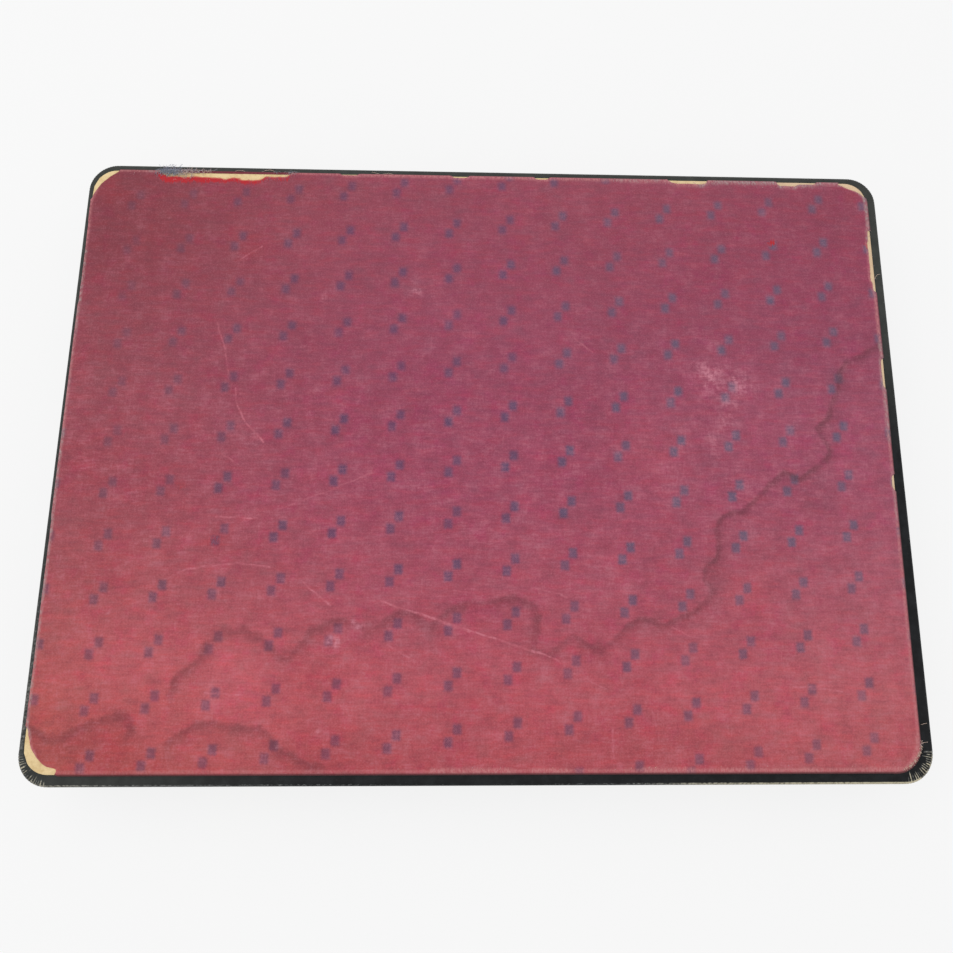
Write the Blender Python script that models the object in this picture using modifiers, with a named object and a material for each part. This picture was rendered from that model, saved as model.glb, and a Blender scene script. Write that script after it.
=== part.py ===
# Fleet guessing case: one player's folding case, closed, with the cloth side up.
# Metres, +Z up, +X to the right, +Y towards the hinged back edge.

import math

import bmesh
import bpy
from mathutils import Matrix, Vector

# Outline of the case
CASE_WIDTH = 0.380
CASE_DEPTH = 0.279
CORNER_RADIUS = 0.013
ARRIS_RADIUS = 0.0016
CORNER_STEPS = 6
ARRIS_STEPS = 2

# Thicknesses of sheet and board
LEATHERCLOTH = 0.0007
PLYWOOD = 0.0025
WALL = 0.011
CARD = 0.0008
CLOTH = 0.0004

# Clearances: fixed pieces, pieces that run past each other, and the two halves of the case
SEAT_GAP = 0.0003
RUN_GAP = 0.0004
PARTING_GAP = 0.0003

# Heights of the two rims, and the feet below them
BASE_RIM_HEIGHT = 0.0155
LID_RIM_HEIGHT = 0.0113
FOOT_RADIUS = 0.008
FOOT_HEIGHT = 0.0022
FOOT_INSET = 0.025
FOOT_STEPS = 12

# Black margins that the cloth panel leaves, and its corners
MARGIN_LEFT = 0.0020
MARGIN_RIGHT = 0.0043
MARGIN_BACK = 0.0023
MARGIN_FRONT = 0.0032
PANEL_CORNER_RADIUS = 0.009

# Hinges: the axis lies inside the back wall, in a groove that stops the lid
HINGE_OPEN_DEGREES = 105.0
HINGE_INSET = 0.004
HINGE_SPACING = 0.220
LEAF_LENGTH = 0.040
LEAF_THICKNESS = 0.001
LEAF_SETBACK = 0.0008
KNUCKLE_RADIUS = 0.0017
KNUCKLE_MIDDLE = 0.0134
KNUCKLE_STEPS = 12
PIN_RADIUS = 0.0007
PIN_GAP = 0.00015
SCREW_SPACING = 0.026
SCREW_HEAD_RADIUS = 0.0015
SCREW_HEAD_HEIGHT = 0.0005
SCREW_SHANK_RADIUS = 0.0007
SCREW_LENGTH = 0.0055
SCREW_STEPS = 8

# Catches: a flush thumb slide in the front wall runs its bolt over a hook that hangs from the lid
CATCH_SPACING = 0.220
CATCH_TRAVEL = 0.006
CATCH_DROP = 0.0078
SLIDE_LENGTH = 0.009
SLIDE_HEIGHT = 0.0068
SLIDE_DEPTH = 0.0044
BOLT_HEIGHT = 0.003
BOLT_DEPTH = 0.003
KNOB_LENGTH = 0.005
KNOB_HEIGHT = 0.0034
HOOK_APPROACH = 0.0025
HOOK_TOE_HEIGHT = 0.002
HOOK_WIDTH = 0.003
HOOK_THICKNESS = 0.0018
HOOK_SWING = 0.0008
KEEPER_THICKNESS = 0.001
KEEPER_DEPTH = 0.008
KEEPER_STUD_RADIUS = 0.001
KEEPER_STUD_LENGTH = 0.004
CATCH_PLATE_BORDER = 0.0026
PLATE_INSET = 0.0001

# Pegboards
GRID_CELLS = 10
GRID_PITCH = 0.0225
PEG_HOLE_RADIUS = 0.0017
PEG_HOLE_STEPS = 6
BOARD_MARGIN = 0.0095
OCEAN_THICKNESS = 0.004
OCEAN_LIFT = 0.0035
TARGET_THICKNESS = 0.003
TARGET_RECESS = 0.003
CLEAT_WIDTH = 0.008
LEDGER_WIDTH = 0.012

# Peg bays beside the ocean board, each with a sliding cover and a fixed rear deck
DIVIDER_THICKNESS = 0.006
RUNNER_THICKNESS = 0.004
GROOVE_DEPTH = 0.002
BAY_DEPTH = 0.0072
RAIL_ABOVE_GROOVE = 0.0016
COVER_THICKNESS = 0.0018
COVER_TRAVEL = 0.110
COVER_NOTCH_LENGTH = 0.016
COVER_NOTCH_WIDTH = 0.006
COVER_NOTCH_INSET = 0.012
DECK_THICKNESS = 0.0018
PARTITION_THICKNESS = 0.003

# Ships and pegs
PLUG_RADIUS = 0.0012
PLUG_LENGTH = 0.003
LIFT_SPARE = 0.0006
SHIP_BEAM = 0.0115
SHIP_END = 0.0075
HULL_HEIGHT = 0.004
CABIN_HEIGHT = 0.0026
CABIN_LENGTH = 0.010
CABIN_BEAM = 0.006
SHIP_HOLE_DEPTH = 0.003
PEG_HEAD_RADIUS = 0.0024
PEG_HEAD_HEIGHT = 0.0036
PEG_STEPS = 8

# Cells and places of the ships: name, cells, first column, first row, and True where it runs along Y
SHIPS = (
    ("ship_five", 5, 1, 8, False),
    ("ship_four", 4, 9, 3, True),
    ("ship_three_long", 3, 0, 2, True),
    ("ship_three_short", 3, 2, 0, False),
    ("ship_two", 2, 7, 0, False),
)
# Parked pegs: name, material, column, row
PEGS = (
    ("peg_white_left", "white_plastic", 0, 9),
    ("peg_white_right", "white_plastic", 9, 9),
    ("peg_red_left", "red_plastic", 0, 0),
    ("peg_red_right", "red_plastic", 9, 0),
)

# Colour, roughness and metallic value of each material
MATERIALS = {
    "black_leathercloth": ((0.014, 0.015, 0.016), 0.42, 0.0),
    "red_cloth": ((0.34, 0.06, 0.085), 0.85, 0.0),
    "cream_card": ((0.66, 0.55, 0.38), 0.8, 0.0),
    "rim_wood": ((0.36, 0.20, 0.09), 0.55, 0.0),
    "plywood": ((0.48, 0.31, 0.16), 0.6, 0.0),
    "pegboard": ((0.10, 0.22, 0.34), 0.5, 0.0),
    "brass": ((0.72, 0.50, 0.19), 0.32, 1.0),
    "black_rubber": ((0.02, 0.02, 0.02), 0.8, 0.0),
    "grey_paint": ((0.23, 0.25, 0.26), 0.45, 0.0),
    "white_plastic": ((0.80, 0.78, 0.72), 0.35, 0.0),
    "red_plastic": ((0.55, 0.04, 0.03), 0.35, 0.0),
}

# Levels, from the table up
SKIN_STEP = LEATHERCLOTH + SEAT_GAP
HALF_WIDTH = CASE_WIDTH / 2
HALF_DEPTH = CASE_DEPTH / 2
RIM_HALF_WIDTH = HALF_WIDTH - SKIN_STEP
RIM_HALF_DEPTH = HALF_DEPTH - SKIN_STEP
INNER_HALF_WIDTH = RIM_HALF_WIDTH - WALL
INNER_HALF_DEPTH = RIM_HALF_DEPTH - WALL
SKIN_BOTTOM = FOOT_HEIGHT + SEAT_GAP
FLOOR_BOTTOM = SKIN_BOTTOM + SKIN_STEP
FLOOR_TOP = FLOOR_BOTTOM + PLYWOOD
BASE_RIM_BOTTOM = FLOOR_TOP + SEAT_GAP
BASE_RIM_TOP = BASE_RIM_BOTTOM + BASE_RIM_HEIGHT
PARTING = BASE_RIM_TOP + PARTING_GAP / 2
LID_RIM_BOTTOM = PARTING + PARTING_GAP / 2
LID_RIM_TOP = LID_RIM_BOTTOM + LID_RIM_HEIGHT
LID_BOARD_BOTTOM = LID_RIM_TOP + SEAT_GAP
LID_BOARD_TOP = LID_BOARD_BOTTOM + PLYWOOD
SKIN_TOP = LID_BOARD_TOP + SKIN_STEP
CARD_BOTTOM = SKIN_TOP + SEAT_GAP
CLOTH_TOP = CARD_BOTTOM + CARD + SEAT_GAP + CLOTH
OCEAN_BOTTOM = FLOOR_TOP + OCEAN_LIFT
OCEAN_TOP = OCEAN_BOTTOM + OCEAN_THICKNESS
TARGET_BOTTOM = LID_RIM_BOTTOM + TARGET_RECESS
TARGET_TOP = TARGET_BOTTOM + TARGET_THICKNESS
HINGE_Y = HALF_DEPTH - HINGE_INSET
LEAF_INNER_Y = INNER_HALF_DEPTH + LEAF_SETBACK
OCEAN_HALF_WIDTH = GRID_CELLS * GRID_PITCH / 2 + BOARD_MARGIN
REACH = CASE_WIDTH


for leftover in list(bpy.data.objects):
    bpy.data.objects.remove(leftover, do_unlink=True)


def new_collection(name):
    group = bpy.data.collections.new(name)
    bpy.context.scene.collection.children.link(group)
    return group


case_parts = new_collection("fleet_guessing_case")
case_cutters = new_collection("cutters")


def new_material(name):
    colour, roughness, metallic = MATERIALS[name]
    material = bpy.data.materials.new(name)
    material.use_nodes = True
    shader = material.node_tree.nodes["Principled BSDF"]
    shader.inputs["Base Color"].default_value = (*colour, 1.0)
    shader.inputs["Roughness"].default_value = roughness
    shader.inputs["Metallic"].default_value = metallic
    material.diffuse_color = (*colour, 1.0)
    return material


materials = {name: new_material(name) for name in MATERIALS}

lid_axis = bpy.data.objects.new("lid_axis", None)
lid_axis.location = (0.0, HINGE_Y, PARTING)
lid_axis.empty_display_size = 0.02
case_parts.objects.link(lid_axis)


def box(low, high):
    shape = bmesh.new()
    bmesh.ops.create_cube(shape, size=1.0)
    low = Vector(low)
    high = Vector(high)
    stretch = Matrix.Diagonal((*(high - low), 1.0))
    bmesh.ops.transform(shape, matrix=Matrix.Translation((low + high) / 2) @ stretch, verts=shape.verts)
    return shape


def level_edges(shape, height):
    return [edge for edge in shape.edges if all(abs(end.co.z - height) < 1e-7 for end in edge.verts)]


def rounded_box(low, high, radius, top_arris=0.0, bottom_arris=0.0):
    shape = box(low, high)
    flat = level_edges(shape, low[2]) + level_edges(shape, high[2])
    upright = [edge for edge in shape.edges if edge not in flat]
    bmesh.ops.bevel(shape, geom=upright, offset=radius, segments=CORNER_STEPS, profile=0.5, affect="EDGES")
    for height, arris in ((high[2], top_arris), (low[2], bottom_arris)):
        if arris > 0.0:
            rim = level_edges(shape, height)
            bmesh.ops.bevel(shape, geom=rim, offset=arris, segments=ARRIS_STEPS, profile=0.5, affect="EDGES")
    return shape


def rod(start, end, radius, steps):
    start = Vector(start)
    end = Vector(end)
    turn = (end - start).to_track_quat("Z", "Y").to_matrix().to_4x4()
    seat = Matrix.Translation((start + end) / 2) @ turn
    shape = bmesh.new()
    bmesh.ops.create_cone(shape, cap_ends=True, segments=steps, radius1=radius, radius2=radius,
                          depth=(end - start).length, matrix=seat)
    return shape


def slab(outline, low, high):
    curve = bpy.data.curves.new("outline", "CURVE")
    curve.dimensions = "2D"
    curve.fill_mode = "BOTH"
    curve.extrude = (high - low) / 2
    line = curve.splines.new("POLY")
    line.points.add(len(outline) - 1)
    for point, (x, y) in zip(line.points, outline):
        point.co = (x, y, 0.0, 1.0)
    line.use_cyclic_u = True
    holder = bpy.data.objects.new("outline", curve)
    mesh = bpy.data.meshes.new_from_object(holder)
    shape = bmesh.new()
    shape.from_mesh(mesh)
    bmesh.ops.remove_doubles(shape, verts=shape.verts, dist=1e-5)
    bmesh.ops.translate(shape, verts=shape.verts, vec=(0.0, 0.0, (low + high) / 2))
    bpy.data.meshes.remove(mesh)
    bpy.data.objects.remove(holder)
    bpy.data.curves.remove(curve)
    return shape


def together(shapes):
    whole = bmesh.new()
    for shape in shapes:
        mesh = bpy.data.meshes.new("island")
        shape.to_mesh(mesh)
        shape.free()
        whole.from_mesh(mesh)
        bpy.data.meshes.remove(mesh)
    return whole


def new_object(name, mesh, material, origin=(0.0, 0.0, 0.0), parent=None):
    piece = bpy.data.objects.new(name, mesh)
    piece.location = origin
    mesh.materials.append(materials[material])
    case_parts.objects.link(piece)
    if parent is not None:
        piece.parent = parent
        piece.matrix_parent_inverse = Matrix.Translation(parent.location).inverted()
    return piece


def shape_mesh(name, shape, origin):
    bmesh.ops.translate(shape, verts=shape.verts, vec=-Vector(origin))
    bmesh.ops.recalc_face_normals(shape, faces=shape.faces)
    mesh = bpy.data.meshes.new(name)
    shape.to_mesh(mesh)
    shape.free()
    return mesh


def solid(name, shape, material, origin=(0.0, 0.0, 0.0), parent=None):
    return new_object(name, shape_mesh(name, shape, origin), material, origin, parent)


def lathe(name, profile, material, origin, steps, parent=None):
    mesh = bpy.data.meshes.new(name)
    points = [(radius, 0.0, height) for radius, height in profile]
    mesh.from_pydata(points, [(index, index + 1) for index in range(len(points) - 1)], [])
    piece = new_object(name, mesh, material, origin, parent)
    turn = piece.modifiers.new("turn", "SCREW")
    turn.axis = "Z"
    turn.steps = steps
    turn.render_steps = steps
    turn.use_merge_vertices = True
    turn.merge_threshold = 0.00001
    return piece


def boolean(piece, label, shape, operation):
    name = piece.name + "_" + label
    tool = bpy.data.objects.new(name, shape_mesh(name, shape, piece.location))
    tool.parent = piece
    tool.hide_render = True
    tool.display_type = "WIRE"
    case_cutters.objects.link(tool)
    step = piece.modifiers.new(label, "BOOLEAN")
    step.operation = operation
    step.solver = "EXACT"
    step.object = tool


def cut(piece, label, shapes):
    boolean(piece, label, together(shapes), "DIFFERENCE")


def weld(piece, label, shape):
    boolean(piece, label, shape, "UNION")


def hinge_centres():
    return {"left": -HINGE_SPACING / 2, "right": HINGE_SPACING / 2}


def wedge(side):
    # side is -1 for the base and +1 for the lid: the groove's two faces lean equally from the parting plane
    lean = math.radians(HINGE_OPEN_DEGREES / 2)
    shape = box((-REACH, -PARTING_GAP, -PARTING_GAP / 2), (REACH, 10 * HINGE_INSET, 10 * HINGE_INSET))
    if side > 0:
        bmesh.ops.scale(shape, vec=(1.0, 1.0, -1.0), verts=shape.verts)
    turn = Matrix.Translation((0.0, HINGE_Y, PARTING)) @ Matrix.Rotation(side * lean, 4, "X")
    bmesh.ops.transform(shape, matrix=turn, verts=shape.verts)
    return shape


def knuckle_reliefs():
    half = LEAF_LENGTH / 2 + RUN_GAP
    radius = KNUCKLE_RADIUS + RUN_GAP
    return [rod((x - half, HINGE_Y, PARTING), (x + half, HINGE_Y, PARTING), radius, KNUCKLE_STEPS)
            for x in hinge_centres().values()]


def leaf_mortises(side):
    half = LEAF_LENGTH / 2 + SEAT_GAP
    depth = PARTING_GAP / 2 + LEAF_THICKNESS + SEAT_GAP
    low, high = sorted((PARTING + side * depth, PARTING - side * depth))
    return [box((x - half, LEAF_INNER_Y - SEAT_GAP, low), (x + half, HINGE_Y, high))
            for x in hinge_centres().values()]


def screw_places(x):
    y = (LEAF_INNER_Y + HINGE_Y - KNUCKLE_RADIUS) / 2
    return {"outer": (x - SCREW_SPACING / 2, y), "inner": (x + SCREW_SPACING / 2, y)}


def screw_holes(side):
    reach = side * (SCREW_LENGTH + PARTING_GAP / 2 + SEAT_GAP)
    places = [place for x in hinge_centres().values() for place in screw_places(x).values()]
    radius = SCREW_SHANK_RADIUS + SEAT_GAP
    return [rod((x, y, PARTING - reach / 4), (x, y, PARTING + reach), radius, SCREW_STEPS) for x, y in places]


# Stations of a catch along its own lock direction, measured from the bolt's tip at rest
HOOK_TOE_START = HOOK_APPROACH
HOOK_STEM_START = CATCH_TRAVEL + RUN_GAP
HOOK_STEM_END = HOOK_STEM_START + HOOK_WIDTH
BLOCK_FRONT = HOOK_TOE_START - CATCH_TRAVEL - RUN_GAP
BLOCK_BACK = BLOCK_FRONT - SLIDE_LENGTH
KNOB_START = (BLOCK_FRONT + BLOCK_BACK - KNOB_LENGTH) / 2
KNOB_END = KNOB_START + KNOB_LENGTH
POCKET_BACK = BLOCK_BACK - RUN_GAP
POCKET_FRONT = HOOK_STEM_END + RUN_GAP
CATCH_Z = BASE_RIM_TOP - CATCH_DROP
BLOCK_LOW = CATCH_Z - SLIDE_HEIGHT / 2
BLOCK_HIGH = CATCH_Z + SLIDE_HEIGHT / 2
TOE_HIGH = BLOCK_LOW + HOOK_TOE_HEIGHT
BOLT_LOW = TOE_HIGH + RUN_GAP
BOLT_HIGH = BOLT_LOW + BOLT_HEIGHT
BLOCK_OUTER_Y = -RIM_HALF_DEPTH + SEAT_GAP
BLOCK_INNER_Y = BLOCK_OUTER_Y + SLIDE_DEPTH
CATCH_Y = (BLOCK_OUTER_Y + BLOCK_INNER_Y) / 2
PLATE_OUTER_Y = -HALF_DEPTH + PLATE_INSET
PLATE_INNER_Y = -RIM_HALF_DEPTH - SEAT_GAP
KEEPER_INNER_Y = CATCH_Y - HOOK_THICKNESS + KEEPER_DEPTH


def catches():
    # Each catch locks towards the middle of the case
    return {"left": (-CATCH_SPACING / 2, 1.0), "right": (CATCH_SPACING / 2, -1.0)}


def catch_box(catch, along, across, height):
    middle, direction = catch
    ends = sorted(middle + direction * station for station in along)
    return box((ends[0], across[0], height[0]), (ends[1], across[1], height[1]))


def catch_pocket(catch):
    height = (BLOCK_LOW - RUN_GAP, BLOCK_HIGH + RUN_GAP)
    return catch_box(catch, (POCKET_BACK, POCKET_FRONT), (-REACH, BLOCK_INNER_Y + RUN_GAP), height)


def hook_slot(catch):
    across = (CATCH_Y - HOOK_THICKNESS / 2 - HOOK_SWING, CATCH_Y + HOOK_THICKNESS / 2 + HOOK_SWING)
    return catch_box(catch, (HOOK_TOE_START - RUN_GAP, POCKET_FRONT), across, (BLOCK_HIGH, LID_RIM_BOTTOM))


def plate_window(catch, spare):
    along = (POCKET_BACK - CATCH_PLATE_BORDER - spare, POCKET_FRONT + CATCH_PLATE_BORDER + spare)
    height = (BLOCK_LOW - CATCH_PLATE_BORDER - spare, BLOCK_HIGH + CATCH_PLATE_BORDER + spare)
    return along, height


def make_base_shell():
    rim_radius = CORNER_RADIUS - SKIN_STEP
    rim = solid("base_rim", rounded_box((-RIM_HALF_WIDTH, -RIM_HALF_DEPTH, BASE_RIM_BOTTOM),
                                        (RIM_HALF_WIDTH, RIM_HALF_DEPTH, BASE_RIM_TOP), rim_radius), "rim_wood")
    cut(rim, "hollow", [box((-INNER_HALF_WIDTH, -INNER_HALF_DEPTH, 0.0),
                            (INNER_HALF_WIDTH, INNER_HALF_DEPTH, CLOTH_TOP))])
    cut(rim, "hinge_groove", [wedge(-1)])
    cut(rim, "knuckle_reliefs", knuckle_reliefs())
    cut(rim, "leaf_mortises", leaf_mortises(-1))
    cut(rim, "screw_holes", screw_holes(-1))
    cut(rim, "catch_pockets", [catch_pocket(catch) for catch in catches().values()])
    cut(rim, "hook_slots", [hook_slot(catch) for catch in catches().values()])

    solid("base_floor", rounded_box((-RIM_HALF_WIDTH, -RIM_HALF_DEPTH, FLOOR_BOTTOM),
                                    (RIM_HALF_WIDTH, RIM_HALF_DEPTH, FLOOR_TOP), rim_radius,
                                    bottom_arris=ARRIS_RADIUS - SEAT_GAP), "plywood")

    skin = solid("base_covering", rounded_box((-HALF_WIDTH, -HALF_DEPTH, SKIN_BOTTOM),
                                              (HALF_WIDTH, HALF_DEPTH, BASE_RIM_TOP), CORNER_RADIUS,
                                              bottom_arris=ARRIS_RADIUS), "black_leathercloth")
    inner_x = HALF_WIDTH - LEATHERCLOTH
    inner_y = HALF_DEPTH - LEATHERCLOTH
    boolean(skin, "hollow", rounded_box((-inner_x, -inner_y, SKIN_BOTTOM + LEATHERCLOTH),
                                        (inner_x, inner_y, CLOTH_TOP), CORNER_RADIUS - LEATHERCLOTH,
                                        bottom_arris=ARRIS_RADIUS - LEATHERCLOTH), "DIFFERENCE")
    cut(skin, "hinge_groove", [wedge(-1)])
    windows = []
    for catch in catches().values():
        along, height = plate_window(catch, SEAT_GAP)
        windows.append(catch_box(catch, along, (-REACH, -inner_y + SEAT_GAP), height))
    cut(skin, "catch_windows", windows)

    foot_x = HALF_WIDTH - FOOT_INSET
    foot_y = HALF_DEPTH - FOOT_INSET
    chamfer = FOOT_HEIGHT / 3
    profile = ((0.0, FOOT_HEIGHT), (FOOT_RADIUS, FOOT_HEIGHT), (FOOT_RADIUS, chamfer),
               (FOOT_RADIUS - chamfer, 0.0), (0.0, 0.0))
    for end, y in (("front", -foot_y), ("back", foot_y)):
        for side, x in (("left", -foot_x), ("right", foot_x)):
            lathe("foot_" + end + "_" + side, profile, "black_rubber", (x, y, 0.0), FOOT_STEPS)


def make_lid_shell():
    rim_radius = CORNER_RADIUS - SKIN_STEP
    rim = solid("lid_rim", rounded_box((-RIM_HALF_WIDTH, -RIM_HALF_DEPTH, LID_RIM_BOTTOM),
                                       (RIM_HALF_WIDTH, RIM_HALF_DEPTH, LID_RIM_TOP), rim_radius),
                "rim_wood", parent=lid_axis)
    cut(rim, "hollow", [box((-INNER_HALF_WIDTH, -INNER_HALF_DEPTH, 0.0),
                            (INNER_HALF_WIDTH, INNER_HALF_DEPTH, CLOTH_TOP))])
    cut(rim, "hinge_groove", [wedge(1)])
    cut(rim, "knuckle_reliefs", knuckle_reliefs())
    cut(rim, "leaf_mortises", leaf_mortises(1))
    cut(rim, "screw_holes", screw_holes(1))
    along = (HOOK_TOE_START - SEAT_GAP, HOOK_STEM_END + HOOK_WIDTH + SEAT_GAP)
    across = (CATCH_Y - HOOK_THICKNESS - SEAT_GAP, KEEPER_INNER_Y + SEAT_GAP)
    height = (PARTING, LID_RIM_BOTTOM + KEEPER_THICKNESS + SEAT_GAP)
    cut(rim, "keeper_mortises", [catch_box(catch, along, across, height) for catch in catches().values()])
    studs = []
    for catch in catches().values():
        x, y = stud_place(catch)
        studs.append(rod((x, y, LID_RIM_BOTTOM), (x, y, LID_RIM_BOTTOM + KEEPER_STUD_LENGTH + 2 * SEAT_GAP),
                         KEEPER_STUD_RADIUS + SEAT_GAP, SCREW_STEPS))
    cut(rim, "keeper_stud_holes", studs)

    solid("lid_top_board", rounded_box((-RIM_HALF_WIDTH, -RIM_HALF_DEPTH, LID_BOARD_BOTTOM),
                                       (RIM_HALF_WIDTH, RIM_HALF_DEPTH, LID_BOARD_TOP), rim_radius,
                                       top_arris=ARRIS_RADIUS - SEAT_GAP), "plywood", parent=lid_axis)

    skin = solid("lid_covering", rounded_box((-HALF_WIDTH, -HALF_DEPTH, LID_RIM_BOTTOM),
                                             (HALF_WIDTH, HALF_DEPTH, SKIN_TOP), CORNER_RADIUS,
                                             top_arris=ARRIS_RADIUS), "black_leathercloth", parent=lid_axis)
    inner_x = HALF_WIDTH - LEATHERCLOTH
    inner_y = HALF_DEPTH - LEATHERCLOTH
    boolean(skin, "hollow", rounded_box((-inner_x, -inner_y, 0.0), (inner_x, inner_y, SKIN_TOP - LEATHERCLOTH),
                                        CORNER_RADIUS - LEATHERCLOTH, top_arris=ARRIS_RADIUS - LEATHERCLOTH),
            "DIFFERENCE")
    cut(skin, "hinge_groove", [wedge(1)])


def make_cloth_panel():
    low = Vector((-HALF_WIDTH + MARGIN_LEFT, -HALF_DEPTH + MARGIN_FRONT, CARD_BOTTOM))
    high = Vector((HALF_WIDTH - MARGIN_RIGHT, HALF_DEPTH - MARGIN_BACK, CLOTH_TOP))
    cloth = solid("red_cloth", rounded_box(low, high, PANEL_CORNER_RADIUS), "red_cloth", parent=lid_axis)
    skirt = Vector((CLOTH, CLOTH, 0.0))
    below = Vector((0.0, 0.0, CARD_BOTTOM))
    top = Vector((0.0, 0.0, CLOTH))
    boolean(cloth, "hollow", rounded_box(low + skirt - below, high - skirt - top, PANEL_CORNER_RADIUS - CLOTH),
            "DIFFERENCE")
    inset = Vector((CLOTH + SEAT_GAP, CLOTH + SEAT_GAP, 0.0))
    card_top = Vector((0.0, 0.0, CLOTH + SEAT_GAP))
    card = rounded_box(low + inset, high - inset - card_top, PANEL_CORNER_RADIUS - CLOTH - SEAT_GAP)
    solid("card_panel", card, "cream_card", parent=lid_axis)


def make_hinges():
    half = LEAF_LENGTH / 2
    middle = KNUCKLE_MIDDLE / 2
    notch = HINGE_Y - KNUCKLE_RADIUS - RUN_GAP
    bore = PIN_RADIUS + PIN_GAP
    recess = SCREW_HEAD_RADIUS + SEAT_GAP
    for side, x in hinge_centres().items():
        base_top = PARTING - PARTING_GAP / 2
        base_low = base_top - LEAF_THICKNESS
        plate = box((x - half, LEAF_INNER_Y, base_low), (x + half, HINGE_Y, base_top))
        base = solid("hinge_base_leaf_" + side, plate, "brass")
        outer = middle + RUN_GAP
        cut(base, "notch", [box((x - outer, notch, 0.0), (x + outer, HALF_DEPTH, CLOTH_TOP))])
        weld(base, "knuckles", together([
            rod((x - half, HINGE_Y, PARTING), (x - outer, HINGE_Y, PARTING), KNUCKLE_RADIUS, KNUCKLE_STEPS),
            rod((x + outer, HINGE_Y, PARTING), (x + half, HINGE_Y, PARTING), KNUCKLE_RADIUS, KNUCKLE_STEPS)]))

        lid_low = PARTING + PARTING_GAP / 2
        lid_top = lid_low + LEAF_THICKNESS
        plate = box((x - half, LEAF_INNER_Y, lid_low), (x + half, HINGE_Y, lid_top))
        lid = solid("hinge_lid_leaf_" + side, plate, "brass", parent=lid_axis)
        cut(lid, "notches", [box((x - CASE_DEPTH, notch, 0.0), (x - middle, HALF_DEPTH, CLOTH_TOP)),
                             box((x + middle, notch, 0.0), (x + CASE_DEPTH, HALF_DEPTH, CLOTH_TOP))])
        weld(lid, "knuckle",
             rod((x - middle, HINGE_Y, PARTING), (x + middle, HINGE_Y, PARTING), KNUCKLE_RADIUS, KNUCKLE_STEPS))

        places = screw_places(x)
        for leaf, face, away in ((base, base_top, -1.0), (lid, lid_low, 1.0)):
            cut(leaf, "bore", [rod((x - LEAF_LENGTH, HINGE_Y, PARTING), (x + LEAF_LENGTH, HINGE_Y, PARTING),
                                   bore, KNUCKLE_STEPS)])
            deep = face + away * (SCREW_HEAD_HEIGHT + SEAT_GAP)
            near = face - away * LEAF_THICKNESS
            far = face + away * 2 * LEAF_THICKNESS
            cut(leaf, "head_recesses", [rod((a, b, near), (a, b, deep), recess, SCREW_STEPS)
                                        for a, b in places.values()])
            cut(leaf, "shank_holes", [rod((a, b, near), (a, b, far), SCREW_SHANK_RADIUS + SEAT_GAP, SCREW_STEPS)
                                      for a, b in places.values()])

        solid("hinge_pin_" + side, rod((x - half, HINGE_Y, PARTING), (x + half, HINGE_Y, PARTING),
                                       PIN_RADIUS, KNUCKLE_STEPS), "brass")
        down = ((0.0, 0.0), (SCREW_HEAD_RADIUS, 0.0), (SCREW_HEAD_RADIUS, -SCREW_HEAD_HEIGHT),
                (SCREW_SHANK_RADIUS, -SCREW_HEAD_HEIGHT), (SCREW_SHANK_RADIUS, -SCREW_LENGTH),
                (0.0, -SCREW_LENGTH))
        up = [(radius, -height) for radius, height in reversed(down)]
        for place, (a, b) in places.items():
            lathe("hinge_base_screw_" + side + "_" + place, down, "brass", (a, b, base_top), SCREW_STEPS)
            lathe("hinge_lid_screw_" + side + "_" + place, up, "brass", (a, b, lid_low), SCREW_STEPS, lid_axis)


def stud_place(catch):
    middle, direction = catch
    station = (HOOK_TOE_START + HOOK_STEM_END + HOOK_WIDTH) / 2
    return middle + direction * station, KEEPER_INNER_Y - 3 * KEEPER_STUD_RADIUS


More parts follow.
